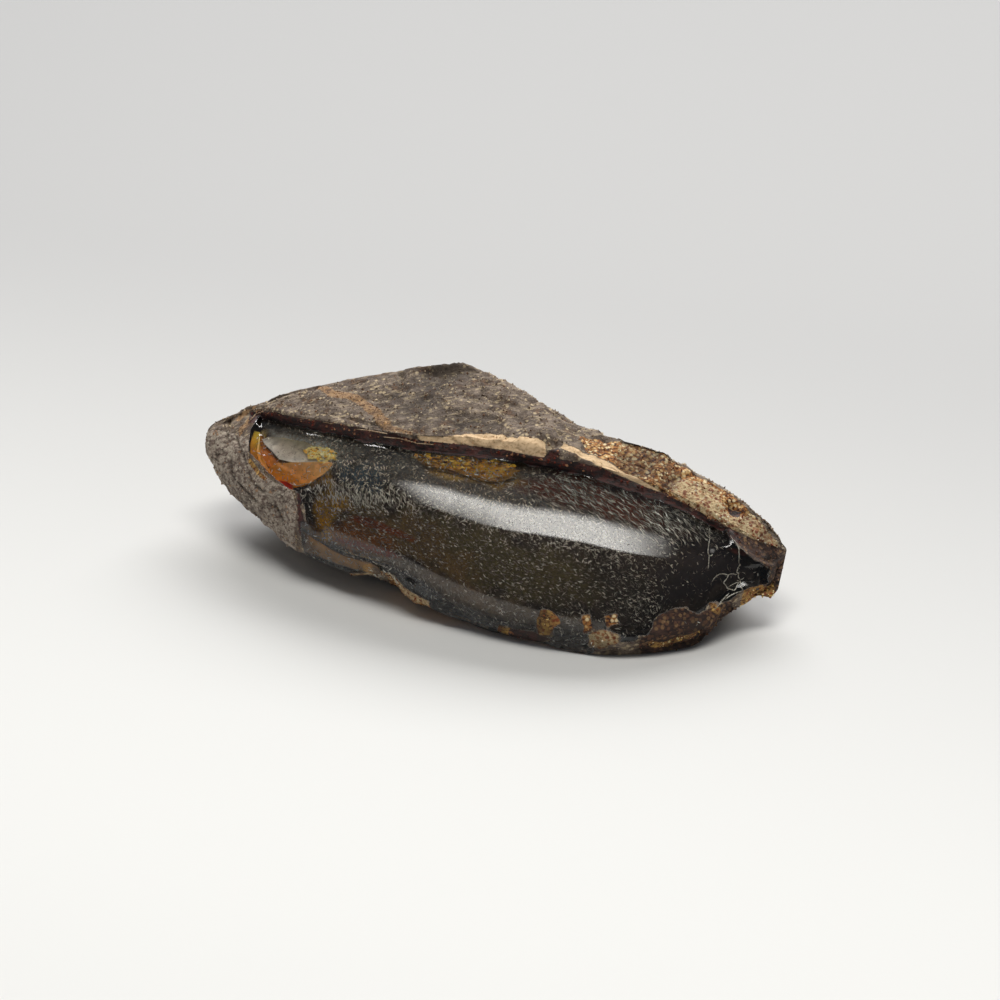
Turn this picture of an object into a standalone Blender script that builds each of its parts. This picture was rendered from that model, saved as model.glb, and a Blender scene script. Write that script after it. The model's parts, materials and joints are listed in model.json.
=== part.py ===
"""Raw amber piece: one long lump of dark amber, polished to two glossy windows and otherwise in its rind.

The lump lies on its flat underside. +X runs along it to the pointed end, +Y goes to its back and +Z goes up.
The origin is on the surface that it rests on, under the middle of its box. Units are metres.
"""

import bpy
import numpy as np

MM = 0.001

# Driving dimensions
HALF_LENGTH = 57.6 * MM
LEFT_TIP_HEIGHT = 19.0 * MM
RIGHT_TIP_HEIGHT = 11.8 * MM
LEFT_TIP_Y = -1.0 * MM
RIGHT_TIP_Y = 1.0 * MM
CENTRE_Y = -2.754 * MM  # the ridges' y of the box's middle, under which the origin stands

# How finely the skin is drawn: sections along the lump, and points round each of its five stretches
SECTIONS = 78
TOP_POINTS, LIP_POINTS, DOME_POINTS, BELLY_POINTS, BACK_POINTS = 10, 2, 18, 10, 12

# The ridges that run from tip to tip, as (x, y, z) in millimetres. Their y is measured from the line through
# the lump's thickest part, which CENTRE_Y moves to the middle of the box
LIP_RIDGE = (  # the broken edge of the rind above the front window
    (-54.0, 1.5, 21.7), (-50.0, 2.6, 23.3), (-45.0, 1.6, 24.8), (-38.6, -1.4, 25.9), (-30.0, -3.2, 26.8),
    (-21.8, -4.6, 27.4), (-13.0, -5.4, 28.1), (-2.3, -3.4, 28.4), (10.2, -3.0, 28.0), (21.9, -2.8, 26.0),
    (33.5, -1.8, 23.3), (43.0, -2.2, 19.8), (49.0, -2.2, 17.1), (54.4, -1.4, 14.6),
)
FOOT_RIDGE = (  # where the front window ends above the underside
    (-55.5, -5.6, 13.2), (-53.0, -7.4, 11.7), (-47.2, -11.0, 9.2), (-38.2, -15.2, 6.9), (-27.5, -19.4, 5.2),
    (-20.5, -21.4, 5.2), (-15.0, -22.6, 5.6), (-10.0, -23.6, 5.0), (-3.8, -25.0, 3.2), (9.4, -27.2, 0.8),
    (21.4, -27.4, 0.1), (34.0, -25.0, 0.2), (41.5, -21.4, 0.4), (46.5, -17.6, 0.8), (50.5, -12.0, 4.3),
    (54.0, -8.8, 5.4), (56.6, -5.8, 6.0),
)
RIM_RIDGE = (  # the highest line, along the back of the rough top
    (-54.5, 3.2, 21.8), (-50.5, 5.0, 23.2), (-40.0, 9.3, 26.9), (-23.7, 14.4, 31.0), (-11.8, 16.4, 33.4),
    (-5.5, 15.0, 32.4), (2.0, 12.0, 31.0), (10.0, 9.4, 29.6), (18.0, 7.2, 27.2), (26.0, 7.4, 27.0),
    (32.0, 7.0, 26.2), (37.0, 6.2, 23.3), (47.0, 4.6, 19.6), (53.5, 2.6, 16.9),
)
BACK_FOOT_RIDGE = (  # where the back meets the underside
    (-50.0, 7.0, 10.0), (-38.0, 12.0, 3.5), (-20.0, 15.0, 1.0), (0.0, 16.0, 0.6), (20.0, 13.0, 0.6),
    (38.0, 8.5, 1.5), (50.0, 4.5, 6.0),
)
BELLY_KEEL = (  # lowest line of the underside as (x, z); below 0 it is worn flat
    (-54.0, 11.0), (-47.0, 6.4), (-38.0, 4.0), (-29.0, 2.4), (-20.0, 1.1), (-11.0, -0.8), (-2.0, -1.8),
    (20.0, -2.2), (40.0, -1.6), (47.0, 1.0), (54.0, 6.0),
)
CLIFF_HEIGHT = (  # height of the rind's broken edge above the window as (x, height)
    (-57.6, 0.2), (-50.0, 0.9), (-30.0, 1.3), (-14.0, 1.9), (-2.0, 2.4), (9.0, 2.5), (14.0, 1.5),
    (32.0, 1.3), (48.0, 1.0), (57.6, 0.2),
)

# Shape of a section: how many degrees above the horizon the skin faces where a curved stretch begins and
# ends, and the length of the stretch's Bezier handles as a share of its chord
DOME_LEAN_TOP, DOME_LEAN_FOOT = 82.0, -22.0
DOME_PULL_TOP, DOME_PULL_FOOT = 0.42, 0.36
BACK_LEAN_FOOT, BACK_LEAN_RIM = -25.0, 62.0
BACK_PULL_FOOT, BACK_PULL_RIM = 0.38, 0.42
BELLY_INSET = 0.22  # how far in from each side the belly's handles stand, as a share of its width
CLIFF_OVERHANG = -0.45  # how far the broken edge runs forward for each unit of its height
SHOULDER_REACH, FOOT_REACH = 0.028, 0.010  # how far along the lump the dome's edges are blended, in stations
TOP_CROWN = 0.03  # how far the rough top swells, as a share of its width

# Outlines on the skin as (x in millimetres, place): place counts the stretches round a section, so 0 to 1 is
# the top from rim to lip, 1 to 2 the broken edge, 2 to 3 the dome, 3 to 4 the belly and 4 to 5 the back
FRONT_WINDOW = (
    (-47.5, 1.95), (-48.0, 2.2), (-46.0, 2.4), (-42.0, 2.47), (-36.5, 2.5), (-32.5, 2.54), (-31.0, 2.64),
    (-30.6, 2.78), (-31.4, 2.88), (-29.0, 3.02), (-20.0, 3.04), (-12.0, 2.97), (-4.0, 2.98), (4.0, 3.1),
    (21.0, 3.12), (28.0, 2.98), (34.0, 2.88), (44.0, 2.85), (49.0, 2.84), (51.5, 2.72), (56.2, 2.65),
    (56.2, 2.36), (53.0, 2.27), (49.0, 2.14), (46.5, 1.95),
)
BACK_WINDOW = (
    (-46.0, 5.1), (-45.5, 4.85), (-41.0, 4.58), (-33.0, 4.36), (-22.0, 4.22), (-10.0, 4.24), (1.0, 4.36),
    (8.0, 4.55), (5.0, 4.75), (-8.0, 4.96), (-15.0, 5.09),
)
PLACE_MM = 30.0  # about how many millimetres one stretch measures
WOBBLE_SIZE, WOBBLE_MM = 3.5 * MM, 0.8  # how the windows' outlines wander

# Polish: how far it cuts into the windows, and from their outlines inwards the width in which that cut falls,
# by the broken edge of the rind and elsewhere. The rind's relief dies out between the two depths of each MEET
RIND_STEP = 1.0 * MM
CLIFF_STEP_MM, OTHER_STEP_MM = 0.7, 4.0
CLIFF_MEET_MM, OTHER_MEET_MM = (-0.35, 0.25), (-2.2, 0.2)

# Relief of the rind, in metres
LUMP_SIZE, LUMP_HEIGHT = 11.0 * MM, 0.7 * MM
KNOB_SIZE, KNOB_HEIGHT = 4.6 * MM, 0.4 * MM
CREASE_SIZE, CREASE_DEPTH, CREASE_WIDTH = 8.5 * MM, 0.7 * MM, 0.16
TERRACE_SIZE, TERRACE_LEVELS, TERRACE_STEP = 14.0 * MM, 2.2, 0.55 * MM
TERRACE_TREAD = 0.7  # the share of each terrace that is level
BASE_EDGE = 2.5 * MM  # the relief dies out this far above the flat underside
TIP_FADE = 11.0 * MM  # the relief dies out where a section's diagonal is below this

# Chips broken from the rind as (x, y, z, radius, depth) in millimetres, with y as the ridges have it
CHIPS = (
    (-14.0, -21.8, 2.6, 7.5, 3.2), (-55.5, 2.5, 21.5, 4.5, 1.4), (-54.5, -4.0, 12.5, 4.5, 0.8),
    (54.5, -6.5, 4.2, 4.5, 1.3), (-43.0, -8.0, 14.0, 5.0, 1.2), (-36.0, -13.0, 10.5, 4.0, 1.0),
    (-50.0, -3.0, 17.5, 4.0, 0.9), (47.0, 1.5, 18.5, 2.6, 1.3), (12.0, -2.6, 27.5, 3.0, 1.2),
    (50.0, 6.5, 10.0, 5.0, 1.4), (-30.0, 14.0, 6.0, 7.0, 1.6), (28.0, 10.5, 8.0, 8.0, 1.8),
    (2.0, 16.0, 6.0, 6.0, 1.3),
)

AMBER_COLOUR = (0.045, 0.024, 0.010, 1.0)


def smoothstep(low, high, value):
    """0 below low, 1 above high, and 3u^2 - 2u^3 between them."""
    u = np.clip((value - low) / (high - low), 0.0, 1.0)
    return u * u * (3.0 - 2.0 * u)


def lattice_value(ix, iy, iz, seed):
    """A repeatable number from -1 to 1 at each whole-number point."""
    wave = np.sin(ix * 127.1 + iy * 311.7 + iz * 74.7 + seed * 19.19) * 43758.5453
    return 2.0 * (wave - np.floor(wave)) - 1.0


def value_noise(points, size, seed):
    """Smooth noise from -1 to 1 with lumps about size across: lattice values blended by smoothstep."""
    scaled = points / size
    cell = np.floor(scaled)
    share = scaled - cell
    share = share * share * (3.0 - 2.0 * share)
    total = np.zeros(points.shape[:-1])
    for corner in np.ndindex(2, 2, 2):
        weight = np.prod(np.where(corner, share, 1.0 - share), axis=-1)
        ix, iy, iz = (cell[..., axis] + corner[axis] for axis in range(3))
        total += weight * lattice_value(ix, iy, iz, seed)
    return total


def station_of(x):
    """The share of the way from tip to tip at x: sections crowd together at the rounded ends."""
    return np.arccos(np.clip(-x / HALF_LENGTH, -1.0, 1.0)) / np.pi


def smooth_through(knots, values, at):
    """A cubic through the knots whose slope at each is the weighted mean of its neighbours'."""
    gaps = np.diff(knots)[:, None]
    slopes = np.diff(values, axis=0) / gaps
    inner = (slopes[:-1] * gaps[1:] + slopes[1:] * gaps[:-1]) / (gaps[1:] + gaps[:-1])
    tangents = np.vstack([slopes[:1], inner, slopes[-1:]])
    index = np.clip(np.searchsorted(knots, at, side="right") - 1, 0, len(knots) - 2)
    gap = gaps[index]
    u = (at - knots[index])[:, None] / gap
    return ((2 * u**3 - 3 * u**2 + 1) * values[index] + (u**3 - 2 * u**2 + u) * gap * tangents[index]
            + (3 * u**2 - 2 * u**3) * values[index + 1] + (u**3 - u**2) * gap * tangents[index + 1])


def ridge(points_mm, stations):
    """(y, z) of a ridge at each station, from its own points and the two tips."""
    left_tip = (-HALF_LENGTH, LEFT_TIP_Y, LEFT_TIP_HEIGHT)
    right_tip = (HALF_LENGTH, RIGHT_TIP_Y, RIGHT_TIP_HEIGHT)
    points = np.vstack([left_tip, np.array(points_mm) * MM, right_tip])
    return smooth_through(station_of(points[:, 0]), points[:, 1:], stations)


def keel_height(stations):
    """Lowest z of the underside at each station, before it is worn flat."""
    left_tip, right_tip = (-HALF_LENGTH, LEFT_TIP_HEIGHT), (HALF_LENGTH, RIGHT_TIP_HEIGHT)
    points = np.vstack([left_tip, np.array(BELLY_KEEL) * MM, right_tip])
    return smooth_through(station_of(points[:, 0]), points[:, 1:], stations)[:, 0]


def averaged(edge, stations, reach):
    """A ridge blended over nearby stations with weights 1, 2, 3, 2, 1, so that the polish runs smoothly."""
    total = 0.0
    for number in range(-2, 3):
        shifted = stations + number * reach * np.sin(np.pi * stations)
        total = total + (3 - abs(number)) / 9.0 * edge(np.clip(shifted, 0.0, 1.0))
    return total


def shoulder_ridge(stations):
    """The dome's upper edge: the lip, moved by the cliff's height times (overhang, -1)."""
    x = -HALF_LENGTH * np.cos(np.pi * stations)
    cliff = np.interp(x / MM, *np.array(CLIFF_HEIGHT).T)[:, None] * MM
    return ridge(LIP_RIDGE, stations) + cliff * np.array([CLIFF_OVERHANG, -1.0])


def bezier(start, start_handle, end_handle, end, count):
    """count points of each section's cubic Bezier, less its end, and their shares of the way along it."""
    share = np.arange(count) / count
    s = share[None, :, None]
    curve = ((1 - s) ** 3 * start[:, None] + 3 * s * (1 - s) ** 2 * start_handle[:, None]
             + 3 * s**2 * (1 - s) * end_handle[:, None] + s**3 * end[:, None])
    return curve, share


def heading(lean_degrees, side):
    """Unit (y, z) along the skin where its normal leans that far up, on the front (-1) or the back (+1)."""
    lean = np.radians(lean_degrees)
    return np.array([-np.sin(lean), side * np.cos(lean)])


def skin_grid():
    """The bare skin as a grid of sections by points, and each point's place round its section.

    A section goes from the rim over the top to the lip, down the broken edge of the rind, over the front
    dome to the foot, under the belly and up the back."""
    stations = np.linspace(0.0, 1.0, SECTIONS + 1)
    x = -HALF_LENGTH * np.cos(np.pi * stations)
    lip = ridge(LIP_RIDGE, stations)
    foot = averaged(lambda at: ridge(FOOT_RIDGE, at), stations, FOOT_REACH)
    shoulder = averaged(shoulder_ridge, stations, SHOULDER_REACH)
    rim, back_foot = ridge(RIM_RIDGE, stations), ridge(BACK_FOOT_RIDGE, stations)
    crown = np.linalg.norm(lip - rim, axis=1)[:, None] * np.array([0.0, TOP_CROWN])
    dome_chord = np.linalg.norm(foot - shoulder, axis=1)[:, None]
    back_chord = np.linalg.norm(rim - back_foot, axis=1)[:, None]
    # A Bezier with both handles at one height passes that height at the middle when the handle is this low
    handle_z = (8.0 * keel_height(stations) - foot[:, 1] - back_foot[:, 1]) / 6.0
    inset = (back_foot[:, 0] - foot[:, 0]) * BELLY_INSET
    stretches = (
        bezier(rim, rim + (lip - rim) / 3 + crown, rim + (lip - rim) * 2 / 3 + crown, lip, TOP_POINTS),
        bezier(lip, lip + (shoulder - lip) / 3, lip + (shoulder - lip) * 2 / 3, shoulder, LIP_POINTS),
        bezier(shoulder, shoulder + heading(DOME_LEAN_TOP, -1) * dome_chord * DOME_PULL_TOP,
               foot - heading(DOME_LEAN_FOOT, -1) * dome_chord * DOME_PULL_FOOT, foot, DOME_POINTS),
        bezier(foot, np.column_stack([foot[:, 0] + inset, handle_z]),
               np.column_stack([back_foot[:, 0] - inset, handle_z]), back_foot, BELLY_POINTS),
        bezier(back_foot, back_foot + heading(BACK_LEAN_FOOT, 1) * back_chord * BACK_PULL_FOOT,
               rim - heading(BACK_LEAN_RIM, 1) * back_chord * BACK_PULL_RIM, rim, BACK_POINTS),
    )
    section = np.concatenate([curve for curve, _ in stretches], axis=1)
    place = np.concatenate([number + share for number, (_, share) in enumerate(stretches)])
    points = np.dstack([np.broadcast_to(x[:, None], section.shape[:2]), section])
    return points, np.broadcast_to(place, section.shape[:2])


def outward(points):
    """Unit normals of the grid, from the cross product of its two directions."""
    along = np.gradient(points, axis=0)
    around = np.roll(points, -1, axis=1) - np.roll(points, 1, axis=1)
    normal = np.cross(around, along)
    return normal / np.maximum(np.linalg.norm(normal, axis=-1, keepdims=True), 1e-12)


def inside_outline(x, y, outline):
    """How far each (x, y) lies inside a closed outline: its least distance to an edge, below 0 outside."""
    nearest = np.full(x.shape, np.inf)
    inside = np.zeros(x.shape, bool)
    for (ax, ay), (bx, by) in zip(outline, outline[1:] + outline[:1]):
        edge_x, edge_y = bx - ax, by - ay
        along = np.clip(((x - ax) * edge_x + (y - ay) * edge_y) / (edge_x**2 + edge_y**2), 0.0, 1.0)
        nearest = np.minimum(nearest, np.hypot(x - ax - along * edge_x, y - ay - along * edge_y))
        if edge_y:
            inside ^= ((ay <= y) != (by <= y)) & (x < ax + (y - ay) / edge_y * edge_x)
    return np.where(inside, nearest, -nearest)


def window_depth(points, place):
    """How many millimetres inside a polished window each point lies, below 0 on the rind."""
    wobble = value_noise(points, WOBBLE_SIZE, 5.0) * WOBBLE_MM
    past_rim = np.where(place < 1.0, place + 5.0, place)  # the back window runs a little over the rim
    depth = np.full(points.shape[:-1], -np.inf)
    for outline, along in ((FRONT_WINDOW, place), (BACK_WINDOW, past_rim)):
        scaled = tuple((x, spot * PLACE_MM) for x, spot in outline)
        depth = np.maximum(depth, inside_outline(points[..., 0] / MM, along * PLACE_MM, scaled))
    return depth + wobble


def rind_and_polish(points, place):
    """The rind's share, 1 on the rind and 0 in the windows, and the share of RIND_STEP that is polished off."""
    depth = window_depth(points, place)
    by_cliff = (place > 0.9) & (place < 2.06)
    rind = np.where(by_cliff, 1.0 - smoothstep(*CLIFF_MEET_MM, depth), 1.0 - smoothstep(*OTHER_MEET_MM, depth))
    width = CLIFF_STEP_MM + (OTHER_STEP_MM - CLIFF_STEP_MM) * smoothstep(2.05, 2.25, place)
    return rind, smoothstep(0.0, width, depth)


def rind_relief(points):
    """Height of the rind: lumps, knobs and terraces, less creases where another noise crosses zero."""
    lumps = value_noise(points, LUMP_SIZE, 1.0) * LUMP_HEIGHT
    knobs = value_noise(points, KNOB_SIZE, 2.0) * KNOB_HEIGHT
    level = value_noise(points, TERRACE_SIZE, 4.0) * TERRACE_LEVELS
    rise = smoothstep(TERRACE_TREAD, 1.0, level - np.floor(level))
    terraces = (np.floor(level) + rise + TERRACE_TREAD / 2) * TERRACE_STEP
    from_crease = np.abs(value_noise(points, CREASE_SIZE, 3.0))
    creases = (1.0 - smoothstep(0.0, CREASE_WIDTH, from_crease)) * CREASE_DEPTH
    return lumps + knobs + terraces - creases


def chip_depth(points):
    """Depth of the chips: each is depth times (1 - (distance / radius)^2)^2 within its radius."""
    total = np.zeros(points.shape[:-1])
    for *centre, radius, depth in CHIPS:
        distance = np.linalg.norm(points / MM - np.array(centre), axis=-1) / radius
        total += depth * MM * np.clip(1.0 - distance**2, 0.0, 1.0) ** 2
    return total


def amber_points():
    """The finished skin: rind with its relief, windows polished lower, and a flat underside at z = 0."""
    points, place = skin_grid()
    rind, polish = rind_and_polish(points, place)
    girth = np.linalg.norm(np.ptp(points[..., 1:], axis=1), axis=-1)
    fade = smoothstep(0.0, TIP_FADE, girth)[:, None]
    above_base = smoothstep(0.0, BASE_EDGE, points[..., 2])
    above_base = np.where((place >= 3.0) & (place < 4.0), above_base, 1.0)
    relief = (rind * rind_relief(points) * fade - chip_depth(points)) * above_base
    height = relief - polish * RIND_STEP * fade
    points = points + outward(points) * height[..., None]
    points[..., 0] = np.clip(points[..., 0], -HALF_LENGTH, HALF_LENGTH)
    points[..., 2] = np.maximum(points[..., 2], 0.0)
    points[..., 1] -= CENTRE_Y
    return points


def closed_mesh(name, points):
    """A loft through the sections, drawn together to one point at each tip."""
    inner = points[1:-1]
    rows, columns = inner.shape[:2]
    vertices = [points[0].mean(axis=0), *inner.reshape(-1, 3), points[-1].mean(axis=0)]
    last = len(vertices) - 1
    following = np.roll(np.arange(columns), -1)
    faces = []
    for column, after in enumerate(following):
        faces.append((0, 1 + after, 1 + column))
        for row in range(rows - 1):
            corner = 1 + row * columns
            beyond = corner + columns
            faces.append((corner + column, corner + after, beyond + after, beyond + column))
        end = 1 + (rows - 1) * columns
        faces.append((last, end + column, end + after))
    mesh = bpy.data.meshes.new(name)
    mesh.from_pydata([tuple(vertex) for vertex in vertices], [], faces)
    mesh.update()
    return mesh


def amber_material():
    """Dark polished amber."""
    material = bpy.data.materials.new("amber")
    material.use_nodes = True
    shader = material.node_tree.nodes["Principled BSDF"]
    shader.inputs["Base Color"].default_value = AMBER_COLOUR
    shader.inputs["Roughness"].default_value = 0.12
    shader.inputs["IOR"].default_value = 1.54
    shader.inputs["Metallic"].default_value = 0.0
    return material


def build():
    for old in list(bpy.data.objects):
        bpy.data.objects.remove(old, do_unlink=True)
    collection = bpy.data.collections.new("raw_amber_piece")
    bpy.context.scene.collection.children.link(collection)
    mesh = closed_mesh("amber_piece", amber_points())
    mesh.materials.append(amber_material())
    mesh.shade_smooth()
    mesh.set_sharp_from_angle(angle=np.radians(42.0))
    collection.objects.link(bpy.data.objects.new("amber_piece", mesh))


build()
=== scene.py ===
import json
import bpy
import numpy as np
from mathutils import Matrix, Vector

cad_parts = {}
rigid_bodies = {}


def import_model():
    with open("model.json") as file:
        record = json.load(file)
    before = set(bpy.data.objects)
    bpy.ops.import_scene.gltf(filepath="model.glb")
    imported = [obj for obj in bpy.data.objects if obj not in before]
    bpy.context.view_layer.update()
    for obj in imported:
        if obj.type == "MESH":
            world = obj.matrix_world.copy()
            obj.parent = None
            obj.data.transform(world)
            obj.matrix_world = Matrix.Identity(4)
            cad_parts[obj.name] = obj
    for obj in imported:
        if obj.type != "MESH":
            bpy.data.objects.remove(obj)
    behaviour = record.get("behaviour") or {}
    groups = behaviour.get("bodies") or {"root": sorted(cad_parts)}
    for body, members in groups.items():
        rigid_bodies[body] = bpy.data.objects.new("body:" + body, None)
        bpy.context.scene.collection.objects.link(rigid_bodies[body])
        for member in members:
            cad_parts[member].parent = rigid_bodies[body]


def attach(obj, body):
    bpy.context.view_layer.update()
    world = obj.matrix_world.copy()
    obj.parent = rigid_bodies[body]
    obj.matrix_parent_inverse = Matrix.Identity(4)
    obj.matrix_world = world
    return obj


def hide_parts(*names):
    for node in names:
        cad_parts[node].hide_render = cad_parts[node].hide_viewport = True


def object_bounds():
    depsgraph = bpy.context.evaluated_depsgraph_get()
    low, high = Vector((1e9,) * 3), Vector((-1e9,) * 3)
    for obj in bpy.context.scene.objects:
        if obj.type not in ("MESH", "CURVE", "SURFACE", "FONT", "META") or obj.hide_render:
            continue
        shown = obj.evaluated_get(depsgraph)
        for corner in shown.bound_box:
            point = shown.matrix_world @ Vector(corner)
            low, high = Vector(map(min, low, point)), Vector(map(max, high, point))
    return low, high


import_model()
cadLow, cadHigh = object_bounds()

# All sizes are in millimetres, and intoFrame turns them to metres. A point on the skin is named by its
# station, the share of the way from tip to tip, and its place round the section: 0 to 1 is the rough top
# from rim to lip, 1 to 2 the broken edge of the rind, 2 to 3 the polished dome, 3 to 4 the belly and 4 to 5
# the back.
mm = 0.001
stretchLength = 30.0  # about what one stretch measures, to compare places with x

lump = dict(
    halfLength=57.6,
    leftTip=(-1.0, 19.0),  # y and z
    rightTip=(1.0, 11.8),
    centreY=-2.754,  # the ridges' y of the box's middle
    lip=((-54, 1.5, 21.7), (-50, 2.6, 23.3), (-45, 1.6, 24.8), (-38.6, -1.4, 25.9), (-30, -3.2, 26.8),
         (-21.8, -4.6, 27.4), (-13, -5.4, 28.1), (-2.3, -3.4, 28.4), (10.2, -3.0, 28.0), (21.9, -2.8, 26.0),
         (33.5, -1.8, 23.3), (43, -2.2, 19.8), (49, -2.2, 17.1), (54.4, -1.4, 14.6)),
    foot=((-55.5, -5.6, 13.2), (-53, -7.4, 11.7), (-47.2, -11, 9.2), (-38.2, -15.2, 6.9), (-27.5, -19.4, 5.2),
          (-20.5, -21.4, 5.2), (-15, -22.6, 5.6), (-10, -23.6, 5.0), (-3.8, -25, 3.2), (9.4, -27.2, 0.8),
          (21.4, -27.4, 0.1), (34, -25, 0.2), (41.5, -21.4, 0.4), (46.5, -17.6, 0.8), (50.5, -12, 4.3),
          (54, -8.8, 5.4), (56.6, -5.8, 6.0)),
    rim=((-54.5, 3.2, 21.8), (-50.5, 5, 23.2), (-40, 9.3, 26.9), (-23.7, 14.4, 31.0), (-11.8, 16.4, 33.4),
         (-5.5, 15, 32.4), (2, 12, 31), (10, 9.4, 29.6), (18, 7.2, 27.2), (26, 7.4, 27), (32, 7, 26.2),
         (37, 6.2, 23.3), (47, 4.6, 19.6), (53.5, 2.6, 16.9)),
    backFoot=((-50, 7, 10), (-38, 12, 3.5), (-20, 15, 1), (0, 16, 0.6), (20, 13, 0.6), (38, 8.5, 1.5),
              (50, 4.5, 6)),
    keel=((-54, 11), (-47, 6.4), (-38, 4), (-29, 2.4), (-20, 1.1), (-11, -0.8), (-2, -1.8), (20, -2.2),
          (40, -1.6), (47, 1), (54, 6)),
    cliff=((-57.6, 0.2), (-50, 0.9), (-30, 1.3), (-14, 1.9), (-2, 2.4), (9, 2.5), (14, 1.5), (32, 1.3),
           (48, 1.0), (57.6, 0.2)),
    domeLean=(82.0, -22.0), domePull=(0.42, 0.36),
    backLean=(-25.0, 62.0), backPull=(0.38, 0.42),
    bellyInset=0.22, cliffOverhang=-0.45, topCrown=0.03,
)

# The polished windows' outlines as (x, place)
frontWindow = ((-47.5, 1.95), (-48, 2.2), (-46, 2.4), (-42, 2.47), (-36.5, 2.5), (-32.5, 2.54), (-31, 2.64),
               (-30.6, 2.78), (-31.4, 2.88), (-29, 3.02), (-20, 3.04), (-12, 2.97), (-4, 2.98), (4, 3.1),
               (21, 3.12), (28, 2.98), (34, 2.88), (44, 2.85), (49, 2.84), (51.5, 2.72), (56.2, 2.65),
               (56.2, 2.36), (53, 2.27), (49, 2.14), (46.5, 1.95))
backWindow = ((-46, 5.10), (-45.5, 4.85), (-41, 4.58), (-33, 4.36), (-22, 4.22), (-10, 4.24), (1, 4.36),
              (8, 4.55), (5, 4.75), (-8, 4.96), (-15, 5.09))

relief = dict(
    step=1.0,  # how far the windows are polished down
    stepWidth=(0.7, 4.0),  # over what width that falls by the cliff, and at the windows' other edges
    meet=((-0.35, 0.25), (-2.2, 0.2)),  # where the relief dies out at the cliff, and at the other edges
    wobble=(3.5, 0.8), fineWobble=(1.3, 0.35),  # size and width of the outlines' wander
    lump=(11.0, 0.6), knob=(4.6, 0.35), crease=(8.5, 0.35, 0.16), terrace=(14.0, 2.2, 0.55, 0.7),
    grains=((2.4, 0.15), (1.3, 0.11), (0.8, 0.09)),  # size and height of the rind's finer lumps
    fineCrease=(3.6, 0.18, 0.10),
    creaseWidth=0.5, creaseDepth=0.5,  # of the drawn cracks and crevices
    creaseWander=((1.6, 0.45, 51.0), (0.7, 0.2, 52.0)),  # size, width and seed of their edges' wander
    creaseLines=(  # as (x, place)
        ((-55.6, 2.3), (-54.0, 2.61), (-52.5, 2.5), (-50.4, 2.52), (-49.6, 2.70), (-46.8, 2.75),
         (-42.7, 2.78)),
        ((-50.2, 2.32), (-47.4, 2.46), (-44.6, 2.62), (-41.1, 2.66), (-38.5, 2.60), (-35.2, 2.62)),
        ((-41.5, 2.80), (-38.0, 2.72), (-36.2, 2.80), (-35.0, 2.92)),
        ((-54.6, 1.9), (-53.0, 2.2), (-52.0, 2.44)), ((-47.0, 2.9), (-44.0, 2.95), (-40.5, 3.05)),
        ((-37.4, 0.97), (-30.8, 0.90), (-25.4, 0.93), (-22.0, 0.90), (-18.5, 1.0)),
        ((13.2, 0.62), (13.6, 0.85), (14.0, 1.0)), ((45.0, 0.45), (47.0, 0.32), (49.0, 0.35)),
    ),
    baseEdge=2.5, tipFade=11.0,  # height above the base, and girth at the tips, where the relief is whole
    # x, y and z of each chip's middle, its radius and its depth
    chips=((-14, -21.8, 2.6, 7.5, 3.2), (-55.5, 2.5, 21.5, 4.5, 1.4), (-54.5, -4, 12.5, 4.5, 0.8),
           (54.5, -6.5, 4.2, 4.5, 1.3), (-43, -8, 14, 5, 1.2), (-36, -13, 10.5, 4, 1),
           (-50, -3, 17.5, 4, 0.9), (47, 1.5, 18.5, 2.6, 1.3), (12, -2.6, 27.5, 3, 1.2),
           (50, 6.5, 10, 5, 1.4), (-30, 14, 6, 7, 1.6), (28, 10.5, 8, 8, 1.8), (2, 16, 6, 6, 1.3)),
)


def smoothstep(low, high, value):
    # 0 below low, 1 above high, and 3u^2 - 2u^3 between them
    u = np.clip((value - low) / (high - low), 0.0, 1.0)
    return u * u * (3.0 - 2.0 * u)


def latticeValue(ix, iy, iz, seed):
    # a repeatable number from -1 to 1 at each whole-number point: the fraction of a steep sine
    wave = np.sin(ix * 127.1 + iy * 311.7 + iz * 74.7 + seed * 19.19) * 43758.5453
    return 2.0 * (wave - np.floor(wave)) - 1.0


def valueNoise(points, size, seed):
    # lattice values at the eight corners of each point's cell, blended by smoothstep
    scaled = points / size
    cell = np.floor(scaled)
    share = scaled - cell
    share = share * share * (3.0 - 2.0 * share)
    total = np.zeros(points.shape[:-1])
    for corner in np.ndindex(2, 2, 2):
        weight = np.prod(np.where(corner, share, 1.0 - share), axis=-1)
        ix, iy, iz = (cell[..., axis] + corner[axis] for axis in range(3))
        total += weight * latticeValue(ix, iy, iz, seed)
    return total


def smoothThrough(knots, values, at):
    # cubic Hermite curve through the knots, whose slope at each is the weighted mean of its neighbours'
    gaps = np.diff(knots)[:, None]
    slopes = np.diff(values, axis=0) / gaps
    inner = (slopes[:-1] * gaps[1:] + slopes[1:] * gaps[:-1]) / (gaps[1:] + gaps[:-1])
    tangents = np.vstack([slopes[:1], inner, slopes[-1:]])
    index = np.clip(np.searchsorted(knots, at, side="right") - 1, 0, len(knots) - 2)
    gap = gaps[index]
    u = (at - knots[index])[:, None] / gap
    return ((2 * u**3 - 3 * u**2 + 1) * values[index] + (u**3 - 2 * u**2 + u) * gap * tangents[index]
            + (3 * u**2 - 2 * u**3) * values[index + 1] + (u**3 - u**2) * gap * tangents[index + 1])


def stationOf(x):
    # arccos(-x / half) / pi, so that sections crowd together at the rounded ends
    return np.arccos(np.clip(-np.asarray(x, float) / lump["halfLength"], -1.0, 1.0)) / np.pi


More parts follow.
